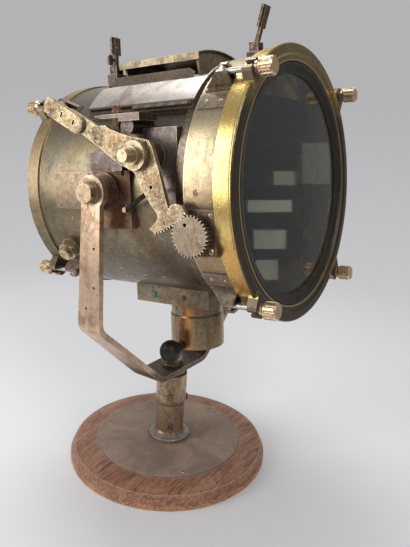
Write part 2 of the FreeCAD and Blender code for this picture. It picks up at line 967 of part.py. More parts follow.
def vane(height):
    """One slat: the upper half lies in front and the lower half behind, so neighbours overlap."""
    reach = vane_circle
    upper = block((-reach, reach), (-vane_offset - vane_thickness, -vane_offset), (-0.5, vane_half))
    lower = block((-reach, reach), (vane_offset, vane_offset + vane_thickness), (-vane_half, 0.5))
    shaft_end = shaft_reach(height)
    spine = math.sqrt(vane_circle ** 2 - (abs(height) + vane_shaft_radius) ** 2)
    slat = joined([upper, lower, along_x(vane_shaft_radius, -spine, spine)])
    slat.translate(V(0, vane_axis, height))
    slat = slat.common(along_y(vane_circle, vane_axis - 10, vane_axis + 10))
    open_height = abs(height) + vane_half * math.cos(math.radians(lever_travel * lever_teeth / pinion_teeth))
    swing = min(reach, math.sqrt((flange_bore - vane_swing_gap) ** 2 - open_height ** 2))
    slat = slat.common(block((-swing, swing), (vane_axis - 10, vane_axis + 10), (height - 30, height + 30)))
    outer_edge = abs(height) > vane_pitch * 1.5
    notch_start = link_across - link_clearance
    notch_end = link_across + link_thickness + crank_thickness + 2 * link_clearance
    if outer_edge:
        limit = notch_start
        slat = slat.cut(block((limit, reach + 9), (vane_axis - 9, vane_axis + 9), (height - 30, height + 30)))
        slat = slat.cut(block((-reach - 9, -limit), (vane_axis - 9, vane_axis + 9), (height - 30, height + 30)))
    else:
        low = height - vane_half - 1
        slat = slat.cut(block((notch_start, notch_end), (vane_axis + 0.1, vane_axis + 9), (low, height + 1)))
    near_end = lever_face + pinion_face if is_driven(height) else -shaft_end
    shaft = along_x(vane_shaft_radius, near_end, shaft_end, vane_axis, height)
    pieces = [slat, shaft, crank(height)]
    return joined(pieces)


def crank(height):
    """Short arm on a vane's shaft with the pin that carries the link bar."""
    start = link_across + link_thickness + crank_side_gap
    end = start + crank_thickness
    y, z = crank_place(height)
    root = along_x(vane_shaft_radius + 1.6, start, end, vane_axis, height)
    tip = along_x(crank_pin_radius + 1.6, start, end, y, z)
    run = V(0, y - vane_axis, z - height)
    side = run.cross(V(1, 0, 0))
    side.multiply(2.6 / side.Length)
    centre = V(start, vane_axis, height)
    corners = [centre + side, centre + run + side, centre + run - side, centre - side]
    web = Part.Face(Part.makePolygon(corners + corners[:1])).extrude(V(crank_thickness, 0, 0))
    pin = along_x(crank_pin_radius, link_across - 1.2, end, y, z)
    return joined([root, tip, web, pin])


def crank_place(height):
    turn = math.radians(crank_angle)
    return vane_axis + crank_radius * math.cos(turn), height + crank_radius * math.sin(turn)


def link_bar():
    heights = vane_heights()
    low_y, low = crank_place(heights[0])
    high = crank_place(heights[-1])[1]
    half = link_width / 2
    bar = block((link_across, link_across + link_thickness), (low_y - half, low_y + half), (low, high))
    ends = [along_x(half, link_across, link_across + link_thickness, low_y, z) for z in (low, high)]
    bar = joined([bar] + ends)
    for height in heights:
        y, z = crank_place(height)
        bar = bar.cut(along_x(crank_pin_radius + 0.05, link_across - 1, link_across + 9, y, z))
    return bar


def shutter_crescents():
    """Fixed segments that close the ring above the top slat and below the bottom one."""
    edge = vane_heights()[-1] + vane_half - 1.6
    gap = vane_offset
    thick = vane_thickness
    upper = along_y(band_bore, vane_axis + gap, vane_axis + gap + thick)
    upper = upper.common(block((-band_radius, band_radius), (vane_axis - 9, vane_axis + 9), (edge, band_radius)))
    lower = along_y(band_bore, vane_axis - gap - thick, vane_axis - gap)
    lower = lower.common(block((-band_radius, band_radius), (vane_axis - 9, vane_axis + 9), (-band_radius, -edge)))
    return Part.makeCompound([upper, lower])


# Lever, sector and pinion

def involute(radius):
    """Polar angle on an involute of unit base radius, at a radius in base radii."""
    swing = math.sqrt(max(radius * radius - 1.0, 0.0))
    return swing - math.atan(swing)


def tooth_outline(teeth, module, first, count, thin):
    """Points of a run of gear teeth about the origin, as (y, z) pairs measured from straight down."""
    pitch = teeth * module / 2
    base = pitch * math.cos(math.radians(pressure_angle))
    tip = pitch + module
    root = pitch - 1.25 * module
    half = math.pi / (2 * teeth) - thin / (2 * pitch)
    at_pitch = involute(pitch / base)
    start = max(base, root)
    radii = [start + (tip - start) * i / 3 for i in range(4)]
    points = []
    for tooth in range(count):
        middle = first + 2 * math.pi * tooth / teeth
        rising = []
        for radius in radii:
            spread = half + at_pitch - involute(radius / base)
            rising.append((radius, spread))
        points.append((root, middle - rising[0][1]))
        points += [(radius, middle - spread) for radius, spread in rising]
        points += [(radius, middle + spread) for radius, spread in reversed(rising)]
        points.append((root, middle + rising[0][1]))
    return points


def from_down(centre, radius, angle):
    """A place at an angle from straight down towards the front of the lamp."""
    return centre[0] - radius * math.sin(angle), centre[1] - radius * math.cos(angle)


def gear_module():
    run = math.hypot(gear_centre[0] - lever_pivot[0], gear_centre[1] - lever_pivot[1])
    return 2 * run / (lever_teeth + pinion_teeth)


def mesh_angle():
    return math.atan2(lever_pivot[0] - gear_centre[0], lever_pivot[1] - gear_centre[1])


def sector_teeth():
    """Sector teeth: one tooth space of the sector faces the pinion at rest."""
    pitch = 2 * math.pi / lever_teeth
    line = mesh_angle()
    below = int((math.degrees(line) - sector_first) / math.degrees(pitch))
    first = line - (below - 0.5) * pitch
    count = int((math.radians(sector_last) - first) / pitch) + 1
    return tooth_outline(lever_teeth, gear_module(), first, count, backlash / 2)


def shutter_lever():
    inner = lever_face + lever_thickness
    teeth = [from_down(lever_pivot, radius, angle) for radius, angle in sector_teeth()]
    front_corner = (-118.5, -12.0)
    back_corner = (-77.6, -37.0)
    upper_edge = [(-80.5, 52.5), (-70.0, 55.2), (-56.6, 57.4), (-44.0, 61.0), (-29.4, 66.0), (-22.7, 70.5)]
    upper_edge += [(-10.8, 70.5), (13.7, 83.5), (30.0, 92.0)]
    lower_edge = [(36.0, 76.0), (18.2, 67.0), (-13.7, 47.6), (-27.5, 37.8), (-43.9, 28.2), (-57.4, 23.4)]
    back_edge = [(-61.8, 19.0), (-69.8, 3.5), (-80.0, -11.0), (-88.6, -21.6), (-88.8, -26.5), (-84.5, -31.5)]
    front_edge = [(-102.6, -15.8), (-101.3, -12.0), (-91.6, 23.6), (-84.6, 46.0)]
    outline = upper_edge + lower_edge + back_edge + [back_corner] + teeth
    outline += [front_corner, (-110.5, -10.2), (-106.0, -12.0)] + front_edge
    plate = flat_on_x(outline, lever_face, inner)
    hub = along_x(lever_hub_radius, lever_face, inner, *lever_pivot)
    arm = joined([plate, hub])
    arm = arm.cut(along_x(pivot_radius + pivot_clearance, lever_face - 1, inner + 1, *lever_pivot))
    arm = arm.cut(along_x(spring_hole_radius, lever_face - 1, inner + 1, *spring_hole))
    pin_end = stop_screw_x + stop_screw_radius
    pin = along_x(stop_pin_radius, inner - 0.5, pin_end, *stop_pin_place)
    return joined([arm, pin])


def lever_handle():
    """Thick grip riveted over the lever's rear end, with three slots along it."""
    outer = lever_face - 4.0
    centre_line = math.atan2(93.0 - 74.5, 52.0 - 18.0)
    length = 46.0
    half = 10.4
    bar = block((0, 4.0), (0, length), (-half, half))
    ends = along_x(half, 0, 4.0, 0, 0).fuse(along_x(half - 1.6, 0, 4.0, length, 0))
    bar = joined([bar, ends])
    edges = [e for e in bar.Edges if e.BoundBox.XMax < 0.01]
    bar = bar.makeChamfer(1.0, edges)
    for place in (4.0, 24.0, 45.0):
        bar = bar.cut(block((-1, 5), (place - 1.4, place + 1.4), (-3.2, 3.2)))
    bar = turned_about(bar, V(1, 0, 0), math.degrees(centre_line))
    bar.translate(V(outer, 17.5, 74.0))
    tail = block((0, 9.0), (36, 52), (-half + 2, half - 2))
    tail = turned_about(tail, V(1, 0, 0), math.degrees(centre_line))
    tail.translate(V(outer, 17.5, 74.0))
    return joined([bar, tail])


def pinion():
    """Pinion, its hub and pivot cap; it is keyed on the shaft of the vane it drives."""
    pitch = 2 * math.pi / pinion_teeth
    facing = mesh_angle() + math.pi
    outline = tooth_outline(pinion_teeth, gear_module(), facing, pinion_teeth, backlash / 2)
    points = [from_down(gear_centre, radius, angle) for radius, angle in outline]
    back = lever_face + pinion_thickness
    wheel = flat_on_x(points, lever_face - 0.4, back)
    hub = along_x(pinion_hub_radius, back - 0.5, gear_plate_face - boss_face_gap, *gear_centre)
    wheel = joined([wheel, hub])
    hole = from_down(gear_centre, 12.5, mesh_angle() + math.pi * 0.92)
    return wheel.cut(along_x(2.2, lever_face - 1, back + 1, *hole))


def pinion_shaft_hole(shape):
    return shape.cut(along_x(vane_shaft_radius, lever_face + pinion_face, -140, *gear_centre))


def gear_plate():
    plate = block((gear_plate_face, -120), (gear_plate_front, gear_plate_back), (gear_plate_bottom, gear_plate_top))
    plate = plate.cut(along_y(band_radius, gear_plate_front - 1, gear_plate_back + 1))
    bearing = vane_shaft_radius + vane_bearing_clearance
    return plate.cut(along_x(bearing, -180, -120, *gear_centre))


def shaft_cap():
    """Screwed plug over the middle slat's shaft on the lever side."""
    place = V(-band_radius - head_gap, vane_axis, 0)
    head = dome(shaft_cap_radius, shaft_cap_rise, place, V(-1, 0, 0))
    return slotted(head, place - V(shaft_cap_rise, 0, 0), V(-1, 0, 0), V(0, 0.7, 0.7), shaft_cap_radius)


def gear_plate_screws():
    heads = []
    for y, z in ((-145.8, -57.5), (-119.5, -57.0), (-145.8, -22.0)):
        place = V(gear_plate_face, y, z)
        head = dome(3.0, 1.6, place, V(-1, 0, 0))
        heads.append(slotted(head, place - V(1.6, 0, 0), V(-1, 0, 0), V(0, 0.6, 0.8), 3.0))
    return Part.makeCompound(heads)


def pivot_pad():
    """Pad hollowed to the drum, with the round pillar that carries the lever's stud."""
    pad = block((pivot_pad_face, -100), (-97.0, -52.0), (17.0, 67.0))
    pad = pad.cut(along_y(drum_radius, -98, -42))
    pillar = along_x(pivot_pillar_radius, pivot_pillar_face, -100, *lever_pivot)
    pillar = pillar.cut(along_y(drum_radius, -90, -40))
    collar = along_x(pivot_radius + 2.4, lever_face + lever_thickness + boss_face_gap, pivot_pillar_face, *lever_pivot)
    whole = joined([pad, pillar, collar])
    return whole.cut(along_x(pivot_radius, lever_face, pivot_pillar_face, *lever_pivot))


def pivot_stud():
    """Stepped stud through the lever, with the large collar and the small end seen in front."""
    face = lever_face - boss_face_gap
    shank = along_x(pivot_radius, face, pivot_pillar_face, *lever_pivot)
    collar = along_x(collar_outer_radius, face - collar_thickness, face, *lever_pivot)
    step = along_x(9.2, face - collar_thickness - 4.0, face - collar_thickness + 0.5, *lever_pivot)
    end_start = face - collar_thickness - 4.5
    end = along_x(stud_radius, end_start - stud_length, end_start + 1, *lever_pivot)
    return joined([shank, collar, step, end])


def stop_bracket():
    """Pillar and horizontal bar above the lever that carry the upper stop screw."""
    pillar = along_x(8.4, stop_screw_x - 1.0, -100, -45.7, 69.2)
    pillar = pillar.cut(along_y(drum_radius, -60, -20))
    bar = block((stop_screw_x - 5.5, -128.0), (-66.0, -14.0), (78.0, 82.0))
    point = flat_on_x([(-14.0, 78.0), (-3.0, 81.0), (-14.0, 82.0)], stop_screw_x - 5.5, stop_screw_x + 2.0)
    block_up = block((stop_screw_x - 5.5, -128.0), (-66.0, -38.0), (74.0, 79.0))
    return joined([pillar, bar, point, block_up]).cut(stop_hole(60, 95))


def stop_hole(low, high):
    y = stop_pin_place[0]
    return along_z(stop_screw_radius, low, high, stop_screw_x, y)


def pin_low():
    """Where the lever's stop pin stands with the handle pressed down."""
    turn = math.radians(-lever_travel)
    y = stop_pin_place[0] - lever_pivot[0]
    z = stop_pin_place[1] - lever_pivot[1]
    return lever_pivot[0] + y * math.cos(turn) - z * math.sin(turn), lever_pivot[1] + y * math.sin(turn) + z * math.cos(turn)


def lower_stop():
    """Bracket below the lever that carries the lower stop screw."""
    arm = block((stop_screw_x - 3.9, -100), (-38.0, -24.0), (23.0, 31.0))
    return arm.cut(along_y(drum_radius, -60, 0)).cut(stop_hole(10, 40))


def stop_screws():
    upper_tip = stop_pin_place[1] + stop_pin_radius + stop_gap
    lower_tip = pin_low()[1] - stop_pin_radius - stop_gap
    y = stop_pin_place[0]
    upper = along_z(stop_screw_radius, upper_tip, 88.0, stop_screw_x, y)
    upper_head = hexagon(8.4, V(stop_screw_x, y, 86.0), V(stop_screw_x, y, 91.5))
    upper_lock = hexagon(9.8, V(stop_screw_x, y, 82.0), V(stop_screw_x, y, 85.4))
    upper_nut = hexagon(10.0, V(stop_screw_x, y, 78.0), V(stop_screw_x, y, 71.5))
    lower = along_z(stop_screw_radius, 18.5, lower_tip, stop_screw_x, y)
    lower_nut = hexagon(9.4, V(stop_screw_x, y, 23.0), V(stop_screw_x, y, 17.5))
    return Part.makeCompound([joined([upper, upper_head, upper_lock, upper_nut]), joined([lower, lower_nut])])


def spring_post():
    """Anchor bolt for the lever's return spring."""
    y, z = spring_anchor
    shank = along_x(spring_bolt_radius, spring_bolt_end, -pad_face, y, z)
    head = hexagon(8.6, V(-pad_face, y, z), V(-pad_face - 4.0, y, z))
    return joined([shank, head])


def arc_pair(start, start_line, end, end_line):
    """Two arcs that join two points and keep the given directions at both."""
    run = end - start
    both = start_line + end_line
    a = 2 * (start_line.dot(end_line) - 1)
    b = -2 * run.dot(both)
    c = run.dot(run)
    if abs(a) < 1e-9:
        reach = -c / b
    else:
        reach = (-b - math.sqrt(b * b - 4 * a * c)) / (2 * a)
    first = start + start_line * reach
    second = end - end_line * reach
    middle = (first + second) * 0.5
    return [arc_under(start, first, middle), arc_under(middle, second, end)]


def arc_under(start, corner, end):
    """Arc between two points whose tangents there meet at a corner."""
    middle = (start + end) * 0.5
    rise = corner - middle
    half = (end - start).Length / 2
    if rise.Length < 1e-6 * half:
        return Part.LineSegment(start, end).toShape()
    turn = math.atan2(rise.Length, half)
    top = middle + rise * (math.tan(turn / 2) / math.tan(turn))
    return Part.Arc(start, top, end).toShape()


def spring_line():
    """Places and directions along the return spring: hook round the bolt, curls, hook in the lever."""
    y, z = spring_anchor
    bolt = V(spring_bolt_end + 2.4, y, z)
    hole = V(lever_face + lever_thickness + spring_radius + spring_wire, *spring_hole)
    axis = hole - bolt
    length = axis.Length
    axis.normalize()
    side = axis.cross(V(1, 0, 0)).normalize()
    other = axis.cross(side)
    loop = spring_bolt_radius + spring_wire + 0.3
    points = []
    for i in range(4):
        turn = math.radians(225 - 90 * i)
        along = V(0, axis.y, axis.z).normalize()
        across = V(0, -along.z, along.y)
        place = bolt + (along * math.cos(turn) + across * math.sin(turn)) * loop
        points.append((place, across * -math.cos(turn) + along * math.sin(turn)))
    first = spring_loop_room
    run = length - first - spring_tail_room
    steps = 4 * spring_curls
    rise = run / steps
    arc = spring_radius * math.pi / 2
    for i in range(steps + 1):
        turn = math.pi / 2 * i
        out = side * math.cos(turn) + other * math.sin(turn)
        way = other * math.cos(turn) - side * math.sin(turn)
        points.append((bolt + axis * (first + rise * i) + out * spring_radius, (way * arc + axis * rise).normalize()))
    points.append((V(lever_face + lever_thickness, *spring_hole), V(-1, 0, 0)))
    points.append((V(lever_face - 2 * spring_wire, *spring_hole), V(-1, 0, 0)))
    return points


def return_spring():
    """Coil drawn between the anchor bolt and the lever's lower arm, in one unbroken wire."""
    points = spring_line()
    edges = []
    for (start, start_line), (end, end_line) in zip(points, points[1:]):
        edges += arc_pair(start, start_line, end, end_line)
    path = Part.Wire(edges)
    start, line = points[0]
    ring = Part.Wire([Part.Circle(start, line, spring_wire).toShape()])
    print("least gap between the spring's curls, mm:", round(least_gap(path) - 2 * spring_wire, 2))
    return path.makePipeShell([ring], True, False)


def least_gap(path):
    """Least distance between places on a wire that are more than half a curl apart along it."""
    step = 0.6
    points = path.discretize(Distance=step)
    skip = int(math.pi * spring_radius / step)
    gap = path.Length
    for i, place in enumerate(points):
        for other in points[i + skip:i + 6 * skip]:
            gap = min(gap, place.distanceToPoint(other))
    return gap


def stop_pad():
    """Pad under the stops, on the drum's skin above the trunnion pad."""
    pad = block((-pad_face - stop_pad_step, -100), (-20.0, pad_back), (pad_top, 44.0))
    return pad.cut(along_y(drum_radius, -60, 60))


# Fittings under and behind the drum

def saddle_block():
    body = block((-block_half, block_half), (block_front, block_back), (block_bottom, -100))
    body = body.cut(along_y(drum_radius, block_front - 1, block_back + 1))
    hole = along_z(socket_neck_radius, block_bottom - 1, -90, 0, socket_centre)
    return body.cut(hole)


def saddle_screws():
    heads = []
    for side in (-1, 1):
        for y, radius in ((21.0, 5.2), (-27.5, 4.2)):
            place = V(side * block_half, y, -144.0)
            line = V(side, 0, 0)
            head = dome(radius, 2.4, place, line)
            heads.append(slotted(head, place + line * 2.4, line, V(0, 0.7, 0.7), radius))
    return Part.makeCompound(heads)


def lamp_socket():
    """Round lamp holder housing under the drum, open below, with a rolled lower rim."""
    top = -drum_radius + 2.0
    profile = [
        (socket_bore, top),
        (socket_neck_radius, top),
        (socket_neck_radius, socket_neck_bottom + 2),
        (socket_radius, socket_neck_bottom),
        (socket_radius, socket_bottom + 1.2),
        (socket_radius - 1.2, socket_bottom),
        (socket_bore, socket_bottom),
    ]
    housing = turned(profile, "z")
    housing.translate(V(0, socket_centre, 0))
    floor = along_z(socket_bore + 0.5, socket_bottom + 6, socket_bottom + 9, 0, socket_centre)
    housing = joined([housing, floor])
    thread = along_x(ball_screw_radius + 0.05, -socket_radius - 5, -20, socket_centre, ball_height)
    return housing.cut(thread)


def ball_screw():
    """Clamp screw with a black ball grip on the lever side of the lamp holder."""
    y = socket_centre
    ball = Part.makeSphere(ball_radius, V(-ball_out, y, ball_height))
    hub = along_x(6.0, -socket_radius - 6.5, -socket_radius - 0.6, y, ball_height)
    screw = along_x(ball_screw_radius, -ball_out, -socket_bore - 0.6, y, ball_height)
    return joined([ball, hub, screw])


def cable_gland():
    """Hexagon gland body on the drum's lower rear quarter, with its slotted plug."""
    turn = gland_angle
    line = outward(turn)
    base = radial(turn, drum_radius - 3, 88.0)
    seat = radial(turn, drum_radius + 2, 88.0)
    washer = cylinder(13.5, base, seat)
    body = hexagon(23.0, seat, seat + line * 9.5)
    plug_end = seat + line * 15.0
    plug = cylinder(8.2, seat, plug_end)
    whole = joined([washer, body, plug]).cut(along_y(drum_radius, 60, 120))
    return slotted(whole, plug_end, line, V(0, 1, 0), 8.2)


def nameplate():
    """Bare plate bent to the drum behind the lever-side trunnion."""
    inner = drum_radius + nameplate_gap
    skin = ring_y(inner + nameplate_thickness, inner, 27.0, 89.5)
    return skin.common(block((-160, -60), (0, 100), (-21.6, 22.0)))


def nameplate_screws():
    heads = []
    for y in (32.0, 85.5):
        for z in (-18.0, 18.6):
            turn = math.degrees(math.asin(z / drum_radius))
            place = radial(turn, drum_radius + nameplate_gap + nameplate_thickness + head_gap, y)
            heads.append(dome(2.0, 1.1, place, outward(turn)))
    return Part.makeCompound(heads)


# Inside the drum

def reflector():
    """Dished mirror behind the lamp, held on the rear door's rim."""
    rim = drum_radius - reflector_edge
    depth = 92.0
    profile = []
    for i in range(9):
        radius = rim * i / 8
        profile.append((radius, depth - 34.0 * (radius / rim) ** 2))
    back = [(radius, y + 2.4) for radius, y in reversed(profile)]
    inner = drum_radius - drum_wall
    rim_place = profile[-1][1]
    lip = [(inner, rim_place), (inner, rim_place + 2.4)]
    return turned(profile + lip + back, "y")


def lamp_holder():
    """Tube that rises from the socket housing and carries the bulb."""
    foot = socket_bottom + 9
    tube = along_z(14.0, foot, -48.0, 0, socket_centre)
    plate = along_z(24.0, foot, foot + 4, 0, socket_centre)
    return joined([tube, plate])


def bulb():
    envelope = Part.makeSphere(24.0, V(0, socket_centre, 0))
    neck = along_z(11.0, -48.0, -18, 0, socket_centre)
    return joined([envelope, neck])


# Hood

def hood_base():
    """Vent box on the drum's crown: side rails, two end walls and the raised cap they carry."""
    low = hood_foot_angle
    inner = drum_radius
    end = 3.0
    outer = hood_radius - hood_wall - hood_lid_gap
    cap_inner = hood_cap_radius - hood_wall
    walls = []
    for start in (hood_front, hood_back - end):
        wall = ring_y(outer, inner, start, start + end)
        walls.append(wall.common(wedge_between(low + 2, 180 - low - 2, start, start + end)))
    for start in (hood_cap_front + 4, hood_cap_back - 4 - end):
        wall = ring_y(cap_inner + 0.4, inner, start, start + end)
        walls.append(wall.common(wedge_between(hood_cap_angle + 1, 179 - hood_cap_angle, start, start + end)))
    rail = ring_y(outer - 2.2, inner, hood_front, hood_back)
    rail = rail.common(wedge_between(low, low + 3.4, hood_front, hood_back))
    cap = ring_y(hood_cap_radius, cap_inner, hood_cap_front, hood_cap_back)
    cap = cap.common(wedge_between(hood_cap_angle, 180 - hood_cap_angle, hood_cap_front, hood_cap_back))
    edge = radial(hood_cap_angle, hood_cap_radius, hood_cap_front)
    skirt = block((edge.x, edge.x + hood_wall), (hood_cap_front, hood_cap_back), (edge.z - hood_cap_skirt, edge.z))
    hinge = hood_hinge()
    box = joined(walls + [rail, mirrored(rail), cap, skirt, mirrored(skirt), hinge, mirrored(hinge)])
    box = box.cut(along_y(drum_radius, hood_front - 1, hood_back + 1))
    return box.cut(along_y(flange_radius, flange_front, drum_front + flange_step))


def hinge_place():
    return radial(hinge_angle, hood_radius - 1.2, 0)


def hinge_step():
    return (hinge_back - hood_front - hinge_start) / knuckle_count


def hood_lid(side):
    """Curved lid hinged along its lower edge, with a leaning flange at its upper edge."""
    low = hinge_angle + 1.05
    high = hood_lid_edge_angle
    sheet = ring_y(hood_radius, hood_radius - hood_wall, hood_front - 2, hood_back + 1)
    sheet = sheet.common(wedge_between(low, high, hood_front - 5, hood_back + 5))
    lean = math.radians(hood_flange_lean)
    line = V(math.cos(lean), 0, math.sin(lean))
    across = V(-line.z, 0, line.x) * hood_wall
    root = radial(high, hood_radius - hood_wall, hood_flange_front) - line * 0.6
    top = root + line * hood_flange_rise
    long = hood_flange_back - hood_flange_front
    corners = [root, top, top + across, root + across]
    flange = Part.Face(Part.makePolygon(corners + corners[:1])).extrude(V(0, long, 0))
    corner_cut = [top + across * 3, top - line * 6 + across * 3, top + across * 3 + V(0, 9, 0)]
    wedge = Part.Face(Part.makePolygon(corner_cut + corner_cut[:1])).extrude(across * -6)
    flange = flange.cut(wedge)
    pin = hinge_place()
    step = hinge_step()
    edge_sheet = ring_y(hood_radius - 0.1, hood_radius - hood_wall, hood_front, hood_back)
    pieces = [sheet, flange]
    for i in range(0, knuckle_count, 2):
        start = hood_front + hinge_start + i * step
        end = start + step - hinge_end_gap
        pieces.append(along_y(hinge_radius, start, end, pin.x, pin.z))
        pieces.append(edge_sheet.common(wedge_between(hinge_angle, low + 1, start, end)))
    lid = joined(pieces)
    lid = lid.cut(along_y(hinge_pin_radius + hinge_clearance, hood_front - 5, hood_back, pin.x, pin.z))
    return lid if side < 0 else mirrored(lid)


def hood_hinge():
    """Fixed knuckles and long pin of one piano hinge."""
    step = hinge_step()
    pin = hinge_place()
    long = hood_front + hinge_start + knuckle_count * step
    pieces = [along_y(hinge_pin_radius, hood_front + 1, long, pin.x, pin.z)]
    for i in range(1, knuckle_count, 2):
        start = hood_front + hinge_start + i * step
        end = start + step - hinge_end_gap
        foot = block((-1.6, 1.6), (start, end), (drum_radius - 1, hood_radius - 1.2))
        pieces.append(along_y(hinge_radius, start, end, pin.x, pin.z))
        pieces.append(to_clamp(foot, hinge_angle))
    return joined(pieces)


# Sights

def sight_bases():
    rear = sight_base(rear_sight_x, rear_sight_y, drum_radius, rear_sight_pin)
    front = sight_base(front_sight_x, front_sight_y, band_radius, front_sight_pin)
    return Part.makeCompound([rear, front])


def sight_base(x, y, skin, pin):
    """Clevis with its cross pin, standing on the skin."""
    foot = block((x - 9, x + 9), (y - 8, y + 8), (skin - 12, pin - 7))
    near = block((x - 6.5, x - 3.4), (y - 6, y + 6), (skin - 12, pin + 4))
    far = block((x + 3.4, x + 6.5), (y - 6, y + 6), (skin - 12, pin + 4))
    whole = joined([foot, near, far, along_x(sight_pin_radius, x - 7.4, x + 7.4, y, pin)])
    return whole.cut(along_y(skin, y - 20, y + 20))


def sight_leaf(x, y, pin, height, hole, tab):
    half = 2.9
    width = 5.4
    eye = along_x(5.0, x - half, x + half, y, pin)
    stem = block((x - half, x + half), (y - 2.2, y + 2.2), (pin, pin + height))
    plate = block((x - 8.5, x + 8.5), (y - 1.4, y + 1.4), (pin + height * 0.45, pin + height))
    leaf = joined([eye, stem, plate])
    if hole:
        leaf = leaf.cut(along_y(hole, y - 9, y + 9, x, pin + height * 0.72))
    if tab:
        side = block((x - 15, x - 7), (y - 1.4, y + 1.4), (pin + height * 0.1, pin + height * 0.42))
        leaf = joined([leaf, side, block((x - 8, x), (y - 1.4, y + 1.4), (pin + 9, pin + 13))])
    return leaf.cut(along_x(sight_pin_radius + sight_pin_clearance, x - 9, x + 9, y, pin))


def rear_sight():
    return sight_leaf(rear_sight_x, rear_sight_y, rear_sight_pin, 40.0, 2.6, True)


def front_sight():
    """The front leaf leans forward a little from its clevis."""
    leaf = sight_leaf(front_sight_x, front_sight_y, front_sight_pin, 45.0, 0, False)
    centre = V(front_sight_x, front_sight_y, front_sight_pin)
    return turned_about(leaf, V(1, 0, 0), front_sight_lean, centre)


def save(name, shape):
    shape.exportStep("parts/" + name + ".step")


def group(*shapes):
    return Part.makeCompound(list(shapes))


def clamps():
    """Every swing bolt with its fluted knob, front ones first."""
    pieces = {}
    names = ("near_top", "near_bottom", "far_top", "far_bottom")
    back = rear_clamp_radius()
    for name, front_angle, rear_angle in zip(names, front_clamp_angles, rear_clamp_angles):
        tip = rod_tip(front_knob_start, -1)
        pieces["front_bolt_" + name] = swing_bolt(front_angle, front_pivot, clamp_radius, tip)
        pieces["front_knob_" + name] = knob(front_angle, front_knob_start, clamp_radius, -1)
        tip = rod_tip(rear_knob_start, 1)
        pieces["rear_bolt_" + name] = swing_bolt(rear_angle, rear_pivot, back, tip)
        pieces["rear_knob_" + name] = knob(rear_angle, rear_knob_start, back, 1)
    return pieces


def main():
    os.makedirs("parts", exist_ok=True)
    save("wooden_base", wooden_base())
    save("base_plate", base_plate())
    save("stand_screws", group(base_screws(), post_screws()))
    save("post", post())
    save("yoke", yoke())
    save("yoke_spigot", group(yoke_spigot(), yoke_nut()))
    fasteners = group(plate_rivets(), body_rivets(), shaft_cap(), gear_plate_screws(), saddle_screws(), nameplate_screws())
    lamp = {
        "trunnion_bosses": group(trunnion_pads(), trunnion_bosses()),
        "trunnion_bolts": trunnion_bolts(),
        "body_shell": body_shell(),
        "front_band": group(shutter_flange(), front_band(), shutter_crescents()),
        "bezel": bezel(),
        "glass": glass(),
        "glass_ring": glass_ring(),
        "rear_ring": rear_ring(),
        "rear_door": rear_door(),
        "clamp_lugs": group(front_lugs(), rear_lugs(), front_plates()),
        "sight_bases": sight_bases(),
        "drum_fasteners": fasteners,
        "link_bar": link_bar(),
        "shutter_lever": shutter_lever(),
        "lever_handle": lever_handle(),
        "pinion": pinion_shaft_hole(pinion()),
        "gear_plate": gear_plate(),
        "lever_brackets": group(pivot_pad(), stop_bracket(), stop_pad(), lower_stop()),
        "pivot_stud": pivot_stud(),
        "stop_screws": group(stop_screws(), spring_post()),
        "return_spring": return_spring(),
        "saddle_block": saddle_block(),
        "lamp_socket": lamp_socket(),
        "ball_screw": ball_screw(),
        "cable_gland": cable_gland(),
        "nameplate": nameplate(),
        "reflector": reflector(),
        "bulb": group(lamp_holder(), bulb()),
        "hood_base": hood_base(),
        "hood_lid_near": hood_lid(-1),
        "hood_lid_far": hood_lid(1),
        "rear_sight": rear_sight(),
        "front_sight": front_sight(),
    }
    for number, height in enumerate(vane_heights(), start=1):
        lamp["vane_%d" % number] = vane(height)
    lamp.update(clamps())
    for name, shape in lamp.items():
        save(name, on_drum(shape))


main()
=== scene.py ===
"""Looks of a morse signal lamp on a round wooden stand, laid over its CAD frame."""

import math
from collections import namedtuple

import bpy
from bpy.props import FloatProperty, FloatVectorProperty, IntProperty, PointerProperty
from bpy.types import Operator, Panel, PropertyGroup
from mathutils import Matrix, Vector


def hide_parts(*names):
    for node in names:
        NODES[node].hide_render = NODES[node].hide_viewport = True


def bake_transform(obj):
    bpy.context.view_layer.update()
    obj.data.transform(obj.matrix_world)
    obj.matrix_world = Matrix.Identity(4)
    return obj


bl_info = {
    "name": "Morse signal lamp",
    "version": (1, 0, 0),
    "blender": (4, 5, 0),
    "location": "View3D > Sidebar > Signal lamp",
    "description": "Dresses the signal lamp's CAD frame with aged metals, wood and glass",
    "category": "Object",
}

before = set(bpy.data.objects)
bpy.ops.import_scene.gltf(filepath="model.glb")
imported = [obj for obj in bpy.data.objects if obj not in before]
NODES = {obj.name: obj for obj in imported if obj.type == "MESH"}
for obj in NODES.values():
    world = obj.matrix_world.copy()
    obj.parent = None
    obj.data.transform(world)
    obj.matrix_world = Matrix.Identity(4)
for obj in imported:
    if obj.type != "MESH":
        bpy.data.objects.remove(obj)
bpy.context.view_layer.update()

# Directions, and where the lamp's parts are in metres

UPWARD = (0.0, 0.0, 1.0)
AHEAD = (0.0, -1.0, 0.0)
LEVER_SIDE = (-1.0, 0.0, 0.0)
AXIS_HEIGHT = 0.389
NOSE_UP = math.radians(5.73)
FRONT = (0.0, -math.cos(NOSE_UP), math.sin(NOSE_UP))
WOOD_RIDGE = 0.1338
WOOD_INNER_RIDGE = 0.1042
PLATE_EDGE = 0.1029
BEZEL_LIP = 0.1415
GREEN_SCREW = (-0.042, 0.0065, 0.2437)
RUSTY_SCREW = (-0.042, -0.0417, 0.2485)
# Direction across the socket along which its painted highlight stripe is placed
SOCKET_ACROSS = (0.543, -0.840, 0.0)

# Sizes of the wear on the metals, in metres

FINE_GRAIN = 0.0028
PIT_SPACING = 0.009
PIT_RADIUS = 0.0007
RUBBED_EDGE = 0.0015

# Fixed colours: the gap round the base plate, scuffs on it, and the panes in the glass

